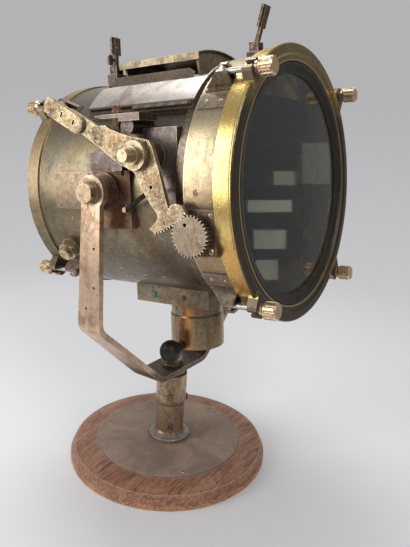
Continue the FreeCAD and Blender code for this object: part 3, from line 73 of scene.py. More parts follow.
GAP_BLACK = (0.02, 0.013, 0.01)
PLATE_SCUFF = (0.46, 0.37, 0.30)
PANE_TINT = (1.0, 0.98, 0.78)


# Shader values and node graphs

class Value:
    """A shader value that takes part in plain Python sums."""

    def __init__(self, graph, socket):
        self.graph = graph
        self.socket = socket

    def sum_of(self, operation, first, second):
        return self.graph.node("ShaderNodeMath", {"operation": operation}, {0: first, 1: second}, "Value")

    def __add__(self, other):
        return self.sum_of("ADD", self, other)

    def __radd__(self, other):
        return self.sum_of("ADD", other, self)

    def __sub__(self, other):
        return self.sum_of("SUBTRACT", self, other)

    def __rsub__(self, other):
        return self.sum_of("SUBTRACT", other, self)

    def __mul__(self, other):
        return self.sum_of("MULTIPLY", self, other)

    def __rmul__(self, other):
        return self.sum_of("MULTIPLY", other, self)

    def between(self, low, high):
        """Smooth step from 0 at low to 1 at high."""
        settings = {"interpolation_type": "SMOOTHSTEP", "clamp": True}
        sockets = {"Value": self, "From Min": low, "From Max": high, "To Min": 0.0, "To Max": 1.0}
        return self.graph.node("ShaderNodeMapRange", settings, sockets, "Result")

    def near(self, level, width):
        """1 at one level, falling to 0 a width away on either side."""
        away = self.graph.node("ShaderNodeMath", {"operation": "ABSOLUTE"}, {0: self - level}, "Value")
        return 1 - away.between(0.0, width)


class Graph:
    """A node tree that is built up by one method and by sums of its values."""

    def __init__(self, tree):
        self.tree = tree
        self.tree.nodes.clear()

    def node(self, kind, settings, sockets, output=0):
        """Make a node: its settings go first, then the values or links of its sockets."""
        node = self.tree.nodes.new(kind)
        for name, value in settings.items():
            setattr(node, name, value)
        for name, value in sockets.items():
            socket = node.inputs[name]
            if isinstance(value, Value):
                self.tree.links.new(value.socket, socket)
            elif isinstance(value, (tuple, list)) and socket.type == "RGBA":
                socket.default_value = (*value[:3], 1.0)
            else:
                socket.default_value = value
        return Value(self, node.outputs[output]) if node.outputs else None

    def ramp(self, share, stops):
        """Pass through a row of colours, each given with its place from 0 to 1."""
        ramp = self.node("ShaderNodeValToRGB", {}, {"Fac": share})
        elements = ramp.socket.node.color_ramp.elements
        while len(elements) < len(stops):
            elements.new(0.5)
        for element, (place, colour) in zip(elements, stops):
            element.position = place
            element.color = (*colour, 1.0)
        return ramp

    def dot(self, vector, way):
        """How far a vector reaches along a direction."""
        sockets = {0: vector, 1: way}
        return self.node("ShaderNodeVectorMath", {"operation": "DOT_PRODUCT"}, sockets, "Value")

    def length(self, vector, shares):
        """Length of a vector whose parts are first multiplied by the given shares."""
        flat = self.node("ShaderNodeVectorMath", {"operation": "MULTIPLY"}, {0: vector, 1: shares})
        return self.node("ShaderNodeVectorMath", {"operation": "LENGTH"}, {0: flat}, "Value")

    def blend(self, share, first, second):
        """Mix two colours by a share from 0 to 1."""
        sockets = {0: share}
        for place, colour in ((6, first), (7, second)):
            sockets[place] = colour if isinstance(colour, Value) else tuple(colour[:3])
        return self.node("ShaderNodeMix", {"data_type": "RGBA"}, sockets, 2)

    def mixed(self, share, first, second):
        """Mix two shaders by a share from 0 to 1."""
        return self.node("ShaderNodeMixShader", {}, {0: share, 1: first, 2: second})


class Finish(Graph):
    """One material, with the textures and masks that the finishes share."""

    def __init__(self, name):
        self.material = bpy.data.materials.new(name)
        self.material.use_nodes = True
        super().__init__(self.material.node_tree)
        self.place = self.node("ShaderNodeTexCoord", {}, {}, "Object")

    def scaled(self, x, y, z, turn=0.0):
        """The object's own coordinates, stretched along its axes and turned about X."""
        sockets = {"Vector": self.place, "Scale": (x, y, z), "Rotation": (turn, 0.0, 0.0)}
        return self.node("ShaderNodeMapping", {}, sockets)

    def noise(self, size, detail=5.0, rough=0.6, bend=0.0, place=None):
        """Cloudy noise whose lumps are about the given size in metres."""
        sockets = {
            "Vector": place or self.place,
            "Scale": 1.0 / size,
            "Detail": detail,
            "Roughness": rough,
            "Distortion": bend,
        }
        return self.node("ShaderNodeTexNoise", {}, sockets, "Fac")

    def dots(self, spacing, radius):
        """Scattered round dots of a radius in metres, about a spacing apart."""
        sockets = {"Vector": self.place, "Scale": 1.0 / spacing}
        away = self.node("ShaderNodeTexVoronoi", {}, sockets, "Distance")
        return 1 - away.between(0.5 * radius / spacing, 1.3 * radius / spacing)

    def lines(self, along, across, share, turn=0.0):
        """Thin scratches: stretched noise, kept only near one level."""
        return self.noise(across, 2.0, 0.5, 0.6, self.scaled(*along, turn=turn)).near(0.5, share)

    def hollows(self, reach):
        """1 in corners and under edges, 0 in the open."""
        return 1 - self.node("ShaderNodeAmbientOcclusion", {"samples": 6}, {"Distance": reach}, "AO")

    def edges(self, reach):
        """1 on sharp outer edges, where handling rubs the metal bright."""
        rounded = self.node("ShaderNodeBevel", {"samples": 6}, {"Radius": reach}, "Normal")
        flat = self.node("ShaderNodeNewGeometry", {}, {}, "Normal")
        return 1 - self.dot(rounded, flat).between(0.80, 0.985)

    def facing(self, way):
        """1 on faces that look the given way, in the piece's own directions."""
        normal = self.node("ShaderNodeTexCoord", {}, {}, "Normal")
        return self.dot(normal, way).between(0.55, 0.80)

    def along(self, way):
        """Distance along a direction from the origin, in metres."""
        return self.dot(self.place, way)

    def height(self):
        """Height above the floor, in metres."""
        return self.along(UPWARD)

    def in_drum(self):
        """Coordinates about the drum's own axis: X across, Y back along the axis, Z up."""
        sockets = {
            "Vector": self.place,
            "Location": (0.0, 0.0, AXIS_HEIGHT),
            "Rotation": (-NOSE_UP, 0.0, 0.0),
        }
        return self.node("ShaderNodeMapping", {"vector_type": "TEXTURE"}, sockets)

    def from_middle(self):
        """Distance from the upright line through the stand's middle, in metres."""
        return self.length(self.place, (1.0, 1.0, 0.0))

    def from_axis(self):
        """Distance from the drum's axis, in metres."""
        return self.length(self.in_drum(), (1.0, 0.0, 1.0))

    def about(self, spot, reach):
        """1 at a place, falling to 0 at a reach away."""
        sockets = {0: self.place, 1: spot}
        away = self.node("ShaderNodeVectorMath", {"operation": "DISTANCE"}, sockets, "Value")
        return 1 - away.between(reach * 0.5, reach)

    def bump(self, height, depth):
        """A normal roughened by a height from 0 to 1, over a depth in metres."""
        sockets = {"Height": height, "Distance": depth, "Strength": 1.0}
        return self.node("ShaderNodeBump", {}, sockets, "Normal")

    def shader(self, sockets):
        """A surface shader that isn't the whole material yet."""
        return self.node("ShaderNodeBsdfPrincipled", {}, sockets, "BSDF")

    def finish(self, varied, fixed=None):
        """The material: varied sockets change over the surface, fixed ones don't."""
        return self.done(self.shader({**varied, **(fixed or {})}))

    def done(self, shader):
        """Close the material with its shader."""
        self.node("ShaderNodeOutputMaterial", {}, {"Surface": shader})
        return self.material


# Finishes

# Colour laid over part of a metal. Some are real stain marks; others are painted light and shade, as
# noted where each is made.
StainOrShade = namedtuple("StainOrShade", "mask colour share")


def below(low, high):
    """A mask for a stain mark or painted shade: 1 under a height, fading out by a higher one."""
    return lambda f: 1 - f.height().between(low, high)


def above(low, high):
    """A mask: 1 over a height, fading out by a lower one."""
    return lambda f: f.height().between(low, high)


def aged_metal(name, clean, dull, dark, *, patina=0.5, grime_and_shade=0.6, bright=None, rub=0.7,
               rough=(0.26, 0.56), metal=0.9, streak=(1, 1, 1), cloud=0.03, depth=0.00022,
               warm=None, stains_and_shading=(), top_marks_and_shading=(), reach=0.010, pits=0.5, grain=0.28):
    """Old metal: clouds of patina over the clean colour, sooty dirt along runs and painted shade in
    the hollows, pits, edges rubbed bright and fine scratches. The first list of marks lies under
    the wear, the second over it; each holds real stain marks and painted light and shade."""
    f = Finish(name)
    stretched = f.scaled(*streak)
    clouds = f.noise(cloud, 6.0, 0.65, 0.6, stretched)
    mottle = f.noise(cloud / 4, 5.0, 0.7, 0.4)
    fine = f.noise(FINE_GRAIN, 4.0, 0.7)
    veil = (clouds * 0.65 + mottle * 0.35).between(0.56 - patina * 0.30, 0.74 - patina * 0.20)
    colour = f.blend(veil, clean, dull)
    if warm:
        warmth = f.noise(cloud * 1.5, 5.0, 0.6, 0.8).between(0.50, 0.62)
        colour = f.blend(warmth * 0.8, colour, warm)
    for mask, tint, share in stains_and_shading:
        edge = mask(f) * (0.72 + mottle * 0.56)
        colour = f.blend(edge.between(0.15, 0.85) * share, colour, tint)
    runs = f.noise(cloud * 0.5, 6.0, 0.75, 0.9, f.scaled(1.0, 1.0, 0.25)).between(0.52, 0.66)
    # Real dirt along the runs, and painted shade in the hollows from ambient occlusion
    soot_and_shade = (runs * 0.5 + f.hollows(reach) * 1.5 + mottle * 0.25 - 0.1).between(0.12, 0.95) * grime_and_shade
    colour = f.blend(soot_and_shade, colour, dark)
    pitted = f.dots(PIT_SPACING, PIT_RADIUS) * f.noise(0.03, 3.0, 0.6).between(0.45, 0.6) * pits
    colour = f.blend(pitted, colour, dark)
    colour = f.blend(fine.between(0.52, 0.68) * grain, colour, dark)
    colour = f.blend(fine.near(0.40, 0.06) * grain * 0.8, colour, bright or clean)
    worn = (f.edges(RUBBED_EDGE) * (0.30 + mottle * 1.3)).between(0.25, 0.70) * rub
    colour = f.blend(worn, colour, bright or clean)
    level = f.lines((1, 0.1, 1), 0.006, 0.010)
    slanting = f.lines((0.15, 1, 1), 0.008, 0.008, 0.5)
    scratches = level * 0.5 + slanting * 0.5
    colour = f.blend(scratches.between(0.25, 1.0) * (0.4 - soot_and_shade * 0.3), colour, bright or clean)
    low, high = rough
    roughness = low + (high - low) * (veil * 0.5 + soot_and_shade * 0.6 + mottle * 0.3) - worn * 0.06
    shine = metal - soot_and_shade * 0.55
    for mask, tint, share in top_marks_and_shading:
        cover = (mask(f) * (0.75 + mottle * 0.5)).between(0.2, 0.8) * share
        colour = f.blend(cover * (1 - worn * 0.25), colour, tint)
        roughness = roughness + cover * 0.12
        shine = shine - cover * 0.3
    height = mottle * 0.55 + fine * 0.2 + clouds * 0.8 - pitted * 0.4
    varied = {
        "Base Color": colour,
        "Roughness": roughness,
        "Metallic": shine,
        "Normal": f.bump(height, depth),
    }
    return f.finish(varied)


def worn_wood(colours):
    """Dark turned wood with fine grain, orange where the stain has rubbed off, and pale dust
    along its ridges and round the plate."""
    f = Finish("worn_wood")
    fibres = f.noise(0.008, 8.0, 0.75, 0.5, f.scaled(0.12, 3.0, 3.0))
    board = f.noise(0.050, 7.0, 0.75, 0.7, f.scaled(0.4, 2.0, 2.0))
    pores = f.noise(0.0016, 3.0, 0.7, 0.2, f.scaled(0.25, 2.0, 1.5))
    patches = f.noise(0.020, 9.0, 0.85, 1.0)
    speck = f.noise(0.0035, 6.0, 0.8, 0.8)
    out = f.from_middle()
    colour = f.blend(fibres.between(0.34, 0.64), colours.stain_dark, colours.stain)
    colour = f.blend(board.between(0.44, 0.66) * 0.5, colour, colours.stain_light)
    colour = f.blend(patches.between(0.44, 0.66) * 0.6, colour, colours.stain_dark)
    colour = f.blend(pores.between(0.52, 0.68) * 0.55, colour, colours.stain_dark)
    low = 1 - f.height().between(0.007, 0.013)
    rubbed = (f.edges(0.003) * 0.4 + fibres * 0.7 + board * 0.5 + low * 0.34 - 0.12).between(0.72, 0.92)
    colour = f.blend(rubbed * 0.75, colour, colours.bare_wood)
    ridge = out.near(WOOD_RIDGE, 0.0016) + out.near(WOOD_INNER_RIDGE, 0.0022) * 0.8
    dust = (f.hollows(0.005) * 0.8 + ridge * 0.7 + speck * 0.9).between(0.85, 1.25)
    colour = f.blend(dust * 0.75, colour, colours.scuff)
    scuffs = (f.noise(0.006, 8.0, 0.85, 1.8) * 0.6 + patches * 0.4).between(0.56, 0.64)
    colour = f.blend(scuffs * 0.5, colour, colours.scuff)
    gap = out.near(PLATE_EDGE, 0.0009)
    colour = f.blend(gap * 0.8, colour, GAP_BLACK)
    worn = (f.edges(0.0016) * (0.2 + patches * 1.2)).between(0.30, 0.75)
    colour = f.blend(worn * 0.6, colour, colours.scuff)
    height = fibres * 0.5 + pores * 0.35 + patches * 0.3 - scuffs * 0.2
    varied = {
        "Base Color": colour,
        "Roughness": 0.34 + fibres * 0.2 + dust * 0.3 + scuffs * 0.15,
        "Normal": f.bump(height, 0.0007),
    }
    return f.finish(varied, {"Specular IOR Level": 0.45})


def dull_plate(colours):
    """Thin brown-grey sheet on the base: fine mottle, faint stain marks, painted shade in its hollows and
    a pale worn rim.
    """
    f = Finish("plate_metal")
    clouds = f.noise(0.05, 6.0, 0.65, 0.6)
    fine = f.noise(0.0035, 6.0, 0.75)
    colour = f.blend(clouds.between(0.36, 0.66), colours.plate_dark, colours.plate)
    colour = f.blend(fine.between(0.48, 0.66) * 0.7, colour, colours.plate_dark)
    scuffs = f.noise(0.006, 6.0, 0.8, 1.2).between(0.60, 0.70)
    colour = f.blend(scuffs * 0.45, colour, PLATE_SCUFF)
    # Painted shade: darker in the hollows round the post and the screws
    colour = f.blend(f.hollows(0.012).between(0.1, 0.8) * 0.7, colour, (0.03, 0.02, 0.015))
    colour = f.blend(f.edges(0.0012).between(0.2, 0.8) * 0.8, colour, (0.62, 0.50, 0.41))
    colour = f.blend(f.lines((0.2, 1, 1), 0.01, 0.006) * 0.3, colour, PLATE_SCUFF)
    varied = {
        "Base Color": colour,
        "Roughness": 0.50 + clouds * 0.15 + fine * 0.12,
        "Metallic": 0.1 + clouds * 0.15,
        "Normal": f.bump(fine * 0.7 + clouds * 0.5, 0.00025),
    }
    return f.finish(varied)


def clear_glass():
    """Clear front glass with a thin film of dust and faint smears."""
    f = Finish("front_glass")
    smear = f.noise(0.05, 6.0, 0.6, 1.2)
    dust = f.noise(0.003, 4.0, 0.8)
    clear = f.shader({
        "Base Color": (0.90, 0.95, 0.92),
        "Roughness": 0.02 + smear.between(0.5, 0.75) * 0.04,
        "Transmission Weight": 1.0,
        "IOR": 1.5,
    })
    film = f.shader({"Base Color": (0.20, 0.20, 0.165), "Roughness": 0.8})
    share = smear.between(0.42, 0.80) * 0.05 + dust.between(0.62, 0.8) * 0.02
    return f.done(f.mixed(share, clear, film))


def bulb_glass():
    """Frosted white glass of the bulb."""
    f = Finish("bulb_glass")
    cloud = f.noise(0.02, 3.0, 0.5)
    varied = {
        "Base Color": f.blend(cloud, (0.80, 0.79, 0.74), (0.90, 0.89, 0.85)),
        "Roughness": 0.25 + cloud * 0.2,
    }
    return f.finish(varied, {"Transmission Weight": 0.6, "IOR": 1.45})


def dark_slat(colours):
    """Blackened sheet of the shutter, with faint grey rubbing and dust."""
    f = Finish("slat_black")
    clouds = f.noise(0.03, 5.0, 0.6, 0.5, f.scaled(0.4, 1.0, 1.0))
    colour = f.blend(clouds.between(0.4, 0.65), colours.slat, (0.034, 0.035, 0.031))
    colour = f.blend(f.edges(0.0008) * 0.5, colour, (0.10, 0.095, 0.08))
    colour = f.blend(f.lines((0.15, 1, 1), 0.01, 0.008) * 0.3, colour, (0.075, 0.075, 0.068))
    varied = {
        "Base Color": colour,
        "Roughness": 0.5 + clouds * 0.2,
        "Normal": f.bump(clouds, 0.0004),
    }
    return f.finish(varied, {"Specular IOR Level": 0.3})


def black_ball(colours):
    """Black ball grip and its darkened screw, scuffed to grey on top."""
    f = Finish("black_grip")
    mottle = f.noise(0.008, 6.0, 0.7, 0.8)
    colour = f.blend(mottle.between(0.50, 0.72) * 0.6, colours.grip, (0.09, 0.08, 0.07))
    colour = f.blend(f.edges(0.001) * 0.5, colour, (0.22, 0.17, 0.12))
    varied = {
        "Base Color": colour,
        "Roughness": 0.32 + mottle * 0.3,
        "Normal": f.bump(mottle, 0.0002),
    }
    return f.finish(varied)


def spring_steel():
    """Dark drawn wire of the return spring, brown in its curls."""
    f = Finish("spring_steel")
    mottle = f.noise(0.003, 4.0, 0.7)
    colour = f.blend(mottle.between(0.4, 0.7), (0.055, 0.045, 0.038), (0.13, 0.095, 0.07))
    varied = {
        "Base Color": colour,
        "Roughness": 0.35 + mottle * 0.25,
        "Metallic": 0.6 + mottle * 0.2,
    }
    return f.finish(varied)


def reflector_silver():
    """Silvered inside of the reflector, a little hazy."""
    f = Finish("mirror")
    haze = f.noise(0.03, 5.0, 0.6)
    silver = f.blend(haze, (0.72, 0.72, 0.70), (0.60, 0.60, 0.57))
    return f.finish({"Base Color": silver, "Roughness": 0.06 + haze * 0.1}, {"Metallic": 1.0})


def dress(finish, *nodes):
    """Give CAD nodes a finish."""
    for node in nodes:
        mesh = NODES[node].data
        mesh.materials.clear()
        mesh.materials.append(finish)


# Sizes and colours that can be changed

def tint(name, words, value):
    """A colour that can be changed in the panel."""
    return FloatVectorProperty(name=name, description=words, default=value,
                               subtype="COLOR", min=0.0, max=1.0)


def distance(name, words, value, low, high):
    """A length in metres that can be changed in the panel."""
    return FloatProperty(name=name, description=words, default=value, min=low, max=high,
                         subtype="DISTANCE", unit="LENGTH")


class LampColours(PropertyGroup):
    """Colours of the wood, the plate and the metals."""

    stain: tint("Wood stain", "Usual colour of the stained base", (0.50, 0.235, 0.135))
    stain_dark: tint("Dark grain", "Dark streaks in the wood", (0.115, 0.050, 0.032))
    stain_light: tint("Pale grain", "Faded streaks in the wood", (0.60, 0.36, 0.24))
    bare_wood: tint("Bare wood", "Wood where the stain has worn away", (0.72, 0.33, 0.125))
    scuff: tint("Scuffs", "Pale scuffs and dust on the wood", (0.60, 0.48, 0.40))
    plate: tint("Base plate", "Sheet metal on top of the base", (0.42, 0.30, 0.23))
    plate_dark: tint("Base plate stain", "Stained parts of the sheet metal", (0.27, 0.19, 0.147))
    body: tint("Drum brass", "Rubbed brass of the drum", (0.385, 0.315, 0.205))
    body_dull: tint("Drum patina", "Grey-olive patina of the drum", (0.205, 0.180, 0.135))
    # Dark colour of the drum: dirt along its runs, and painted shade in its hollows
    soot_and_shade: tint("Soot", "Grime in the hollows of the brass", (0.045, 0.033, 0.022))
    band: tint("Band brass", "Pale brass of the front band", (0.60, 0.495, 0.30))
    bezel: tint("Bezel brass", "Polished brass of the front ring", (0.95, 0.68, 0.235))
    copper: tint("Yoke metal", "Pinkish tan of the yoke strap", (0.84, 0.59, 0.41))
    knob: tint("Knob brass", "Rosy brass of the clamp knobs", (0.92, 0.65, 0.41))
    slat: tint("Shutter slats", "Blackened sheet of the shutter", (0.016, 0.017, 0.015))
    grip: tint("Ball grip", "Black of the ball on the clamp screw", (0.016, 0.014, 0.013))


class LampSizes(PropertyGroup):
    """Sizes of the pieces that are drawn here and not in the CAD."""

    wire: distance("Spring wire", "Radius of the return spring's wire", 0.0006, 0.0003, 0.0009)
    coil: distance("Spring coil", "Radius of the return spring's coil", 0.0022, 0.001, 0.003)
    curls: IntProperty(name="Spring curls", description="Number of curls of the return spring",
                       default=20, min=5, max=40)
    floor: distance("Floor", "Radius of the pale studio floor", 1.6, 0.5, 5.0)


def colours():
    return bpy.context.scene.lamp_colours


def sizes():
    return bpy.context.scene.lamp_sizes


class LAMP_OT_stand(Operator):
    """Dress the wooden base, its metal plate, the post and their screws"""

    bl_idname = "lamp.stand"
    bl_label = "Stand"

    def execute(self, context):
        tints = colours()
        foot = StainOrShade(below(0.028, 0.033), (0.46, 0.44, 0.41), 0.75)
        post = aged_metal(
            "post_bronze", (0.52, 0.39, 0.26), (0.27, 0.20, 0.14), (0.05, 0.036, 0.026),
            bright=(0.80, 0.68, 0.52), warm=(0.36, 0.22, 0.13), patina=0.55, grime_and_shade=0.8,
            rough=(0.30, 0.52), streak=(1, 1, 0.35), cloud=0.014, grain=0.5, stains_and_shading=(foot,),
        )
        screws = aged_metal(
            "stand_screw_bronze", (0.30, 0.19, 0.12), (0.14, 0.09, 0.065), (0.025, 0.018, 0.014),
            bright=(0.66, 0.50, 0.36), grime_and_shade=0.9, cloud=0.006,
        )
        dress(worn_wood(tints), "wooden_base")
        dress(dull_plate(tints), "base_plate")
        dress(post, "post")
        dress(screws, "stand_screws")
        return {"FINISHED"}


class LAMP_OT_yoke(Operator):
    """Dress the yoke, its pivot, the trunnion bosses and their bolts"""

    bl_idname = "lamp.yoke"
    bl_label = "Yoke"

    def execute(self, context):
        tints = colours()
        # Painted shade: the yoke's flat foot under the drum very dark, and its lower slopes darker
        flat = StainOrShade(below(0.137, 0.165), (0.055, 0.043, 0.034), 0.9)
        lower_slope_shade = StainOrShade(below(0.195, 0.235), (0.56, 0.40, 0.29), 0.6)
        strap = aged_metal(
            "copper_tan", tints.copper, (0.44, 0.305, 0.21), (0.06, 0.04, 0.028),
            bright=(0.80, 0.63, 0.46), warm=(0.42, 0.25, 0.15), patina=0.45, grime_and_shade=0.8,
            rough=(0.26, 0.50), streak=(1, 1, 0.4), cloud=0.022, stains_and_shading=(lower_slope_shade, flat),
        )
        bolt = aged_metal(
            "bolt_brass", (0.50, 0.37, 0.225), (0.27, 0.195, 0.12), (0.05, 0.034, 0.023),
            bright=(0.90, 0.76, 0.55), patina=0.4, grime_and_shade=0.85, cloud=0.008,
        )
        boss = aged_metal(
            "boss_brown", (0.36, 0.20, 0.125), (0.19, 0.105, 0.066), (0.022, 0.015, 0.011),
            bright=(0.62, 0.47, 0.36), warm=(0.29, 0.13, 0.075), patina=0.55, grime_and_shade=0.85,
            metal=0.7, cloud=0.012,
        )
        dress(strap, "yoke")
        dress(bolt, "yoke_spigot", "trunnion_bolts")
        dress(boss, "trunnion_bosses")
        return {"FINISHED"}


class LAMP_OT_drum(Operator):
    """Dress the drum, its rear door, the hood and the plates and screws on its skin"""

    bl_idname = "lamp.drum"
    bl_label = "Drum"

    def execute(self, context):
        tints = colours()
        # Painted shade: the drum and its rear ring darker towards the underside
        under = StainOrShade(below(0.27, 0.40), (0.105, 0.080, 0.048), 0.85)
        upper = StainOrShade(above(0.41, 0.50), (0.30, 0.265, 0.235), 0.75)
        ahead = StainOrShade(lambda f: f.along(FRONT).between(0.085, 0.13), (0.20, 0.165, 0.148), 0.8)
        body = aged_metal(
            "old_brass", tints.body, tints.body_dull, tints.soot_and_shade,
            bright=(0.66, 0.56, 0.40), warm=(0.33, 0.245, 0.115), patina=0.5, grime_and_shade=0.8,
            rough=(0.24, 0.46), streak=(1, 1, 0.45), cloud=0.04, reach=0.016,
            stains_and_shading=(upper, under, ahead),
        )
        rim = aged_metal(
            "rim_brass", (0.58, 0.43, 0.25), (0.36, 0.265, 0.16), (0.06, 0.042, 0.026),
            bright=(0.86, 0.70, 0.46), patina=0.4, grime_and_shade=0.75, cloud=0.02, stains_and_shading=(under,),
        )
        flange = StainOrShade(
            lambda f: f.dot(f.in_drum(), UPWARD).between(0.1210, 0.1222),
            (0.205, 0.145, 0.09), 0.92,
        )
        hinge = StainOrShade(
            lambda f: f.along(LEVER_SIDE).between(0.1160, 0.1168),
            (0.13, 0.095, 0.07), 0.95,
        )
        hood = aged_metal(
            "hood_lilac", (0.93, 0.85, 0.775), (0.74, 0.66, 0.585), (0.065, 0.048, 0.036),
            bright=(0.78, 0.68, 0.55), warm=(0.62, 0.50, 0.42), patina=0.45, grime_and_shade=0.8, rub=0.4,
            cloud=0.035, stains_and_shading=(flange,), top_marks_and_shading=(hinge,),
        )
        cap = aged_metal(
            "hood_brown", (0.45, 0.36, 0.235), (0.29, 0.225, 0.15), (0.03, 0.022, 0.016),
            bright=(0.60, 0.50, 0.35), warm=(0.17, 0.105, 0.07), patina=0.55, grime_and_shade=0.8,
            rough=(0.36, 0.58), cloud=0.022, top_marks_and_shading=(hinge,),
        )
        plate = aged_metal(
            "plate_brass", (0.45, 0.335, 0.225), (0.30, 0.22, 0.145), (0.10, 0.07, 0.045),
            bright=(0.80, 0.66, 0.48), patina=0.5, grime_and_shade=0.7, rough=(0.34, 0.55), cloud=0.008,
        )
        green = StainOrShade(lambda f: f.about(GREEN_SCREW, 0.010), (0.10, 0.30, 0.235), 0.95)
        rusty = StainOrShade(lambda f: f.about(RUSTY_SCREW, 0.008), (0.24, 0.095, 0.06), 0.9)
        screw = aged_metal(
            "drum_screw_brass", (0.58, 0.44, 0.27), (0.30, 0.22, 0.14), (0.04, 0.03, 0.02),
            bright=(0.90, 0.76, 0.54), patina=0.4, grime_and_shade=0.9, cloud=0.006, top_marks_and_shading=(green, rusty),
        )
        gland = aged_metal(
            "gland_brass", (0.66, 0.50, 0.27), (0.35, 0.25, 0.13), (0.045, 0.032, 0.02),
            bright=(0.92, 0.78, 0.52), patina=0.4, grime_and_shade=0.85, cloud=0.010,
        )
        sight = aged_metal(
            "sight_black", (0.13, 0.095, 0.078), (0.050, 0.038, 0.032), (0.014, 0.011, 0.010),
            bright=(0.62, 0.46, 0.34), warm=(0.20, 0.095, 0.060), patina=0.6, grime_and_shade=0.8, rub=0.8,
            metal=0.6, cloud=0.008,
        )
        dress(body, "body_shell", "rear_door")
        dress(hood, "hood_lid_near", "hood_lid_far")
        dress(cap, "hood_base")
        dress(rim, "rear_ring")
        dress(plate, "nameplate")
        dress(screw, "drum_fasteners")
        dress(gland, "cable_gland")
        dress(sight, "sight_bases", "rear_sight", "front_sight")
        dress(reflector_silver(), "reflector")
        dress(bulb_glass(), "bulb")
        return {"FINISHED"}


class LAMP_OT_front(Operator):
    """Dress the front band, the bezel, the glass and its ring, and the shutter slats"""

    bl_idname = "lamp.front"
    bl_label = "Front"

    def execute(self, context):
        tints = colours()
        # Painted shade: the bezel's front face, turned from the lamps, dark brown except near the top
        front_face_shade = StainOrShade(
            lambda f: f.facing(FRONT) * (1 - f.height().between(0.47, 0.52)),
            (0.060, 0.042, 0.028), 0.95,
        )
        # Painted shade: the whole front face darker olive
        front_face_olive_shade = StainOrShade(lambda f: f.facing(FRONT), (0.20, 0.15, 0.07), 0.8)
        # Painted highlight: a lighter gold ring where the inner ridge of the front face catches the light
        lip_highlight = StainOrShade(
            lambda f: f.from_axis().near(BEZEL_LIP, 0.0016) * f.facing(FRONT),
            (0.42, 0.31, 0.15), 0.9,
        )
        ears = StainOrShade(lambda f: f.from_axis().between(0.1585, 0.1605), (0.105, 0.092, 0.082), 0.9)
        orange = StainOrShade(lambda f: f.height().near(0.33, 0.06), (0.66, 0.35, 0.10), 0.75)
        # Painted shade: the bezel darker and tawnier towards the bottom
        low = StainOrShade(below(0.25, 0.31), (0.38, 0.23, 0.10), 0.7)
        bezel = aged_metal(
            "bright_brass", tints.bezel, (0.72, 0.50, 0.19), (0.050, 0.032, 0.014),
            bright=(0.86, 0.70, 0.38), patina=0.35, grime_and_shade=0.8, rough=(0.20, 0.42), metal=0.95,
            streak=(1, 0.4, 0.5), cloud=0.020, stains_and_shading=(orange, low, front_face_olive_shade),
            top_marks_and_shading=(front_face_shade, lip_highlight, ears),
        )
        shade = StainOrShade(lambda f: 1 - f.along(FRONT).between(0.145, 0.152), (0.17, 0.125, 0.10), 0.92)
        # Painted shade: the band darker and tawnier towards the bottom
        lower_band_shade = StainOrShade(below(0.35, 0.48), (0.34, 0.225, 0.12), 0.85)
        band = aged_metal(
            "pale_brass", tints.band, (0.46, 0.38, 0.24), (0.08, 0.055, 0.03),
            bright=(0.92, 0.84, 0.62), patina=0.42, grime_and_shade=0.75, rough=(0.27, 0.46), metal=0.95,
            streak=(1, 1, 0.3), cloud=0.03, stains_and_shading=(lower_band_shade, shade),
        )
        ring = aged_metal(
            "ring_steel", (0.036, 0.030, 0.024), (0.021, 0.018, 0.015), (0.010, 0.009, 0.008),
            bright=(0.22, 0.17, 0.11), patina=0.5, grime_and_shade=0.6, rub=0.4, rough=(0.4, 0.6), metal=0.4,
        )
        dress(bezel, "bezel")
        dress(band, "front_band")
        dress(ring, "glass_ring")
        dress(clear_glass(), "glass")
        dress(dark_slat(tints), "vane_1", "vane_2", "vane_3", "vane_4", "vane_5", "link_bar")
        return {"FINISHED"}


class LAMP_OT_clamps(Operator):
    """Dress the clamp lugs, the swing bolts and the fluted knobs"""

    bl_idname = "lamp.clamps"
    bl_label = "Clamps"

    def execute(self, context):
        lug = aged_metal(
            "lug_brass", (0.42, 0.34, 0.26), (0.23, 0.18, 0.135), (0.04, 0.03, 0.021),
            bright=(0.80, 0.68, 0.52), warm=(0.27, 0.16, 0.10), patina=0.5, grime_and_shade=0.85,
            cloud=0.012,
        )
        knob = aged_metal(
            "knob_copper", colours().knob, (0.66, 0.41, 0.225), (0.022, 0.013, 0.008),
            bright=(0.98, 0.82, 0.60), patina=0.35, grime_and_shade=1.0, rough=(0.22, 0.42), cloud=0.010,
            reach=0.006,
        )
        rod = aged_metal(
            "rod_steel", (0.60, 0.55, 0.50), (0.38, 0.33, 0.29), (0.06, 0.048, 0.04),
            bright=(0.9, 0.85, 0.78), patina=0.4, grime_and_shade=0.7, rough=(0.2, 0.42), cloud=0.008,
        )
        dress(lug, "clamp_lugs")
        for end in ("front", "rear"):
            for place in ("near_top", "near_bottom", "far_top", "far_bottom"):
                dress(rod, "%s_bolt_%s" % (end, place))
                dress(knob, "%s_knob_%s" % (end, place))
        return {"FINISHED"}


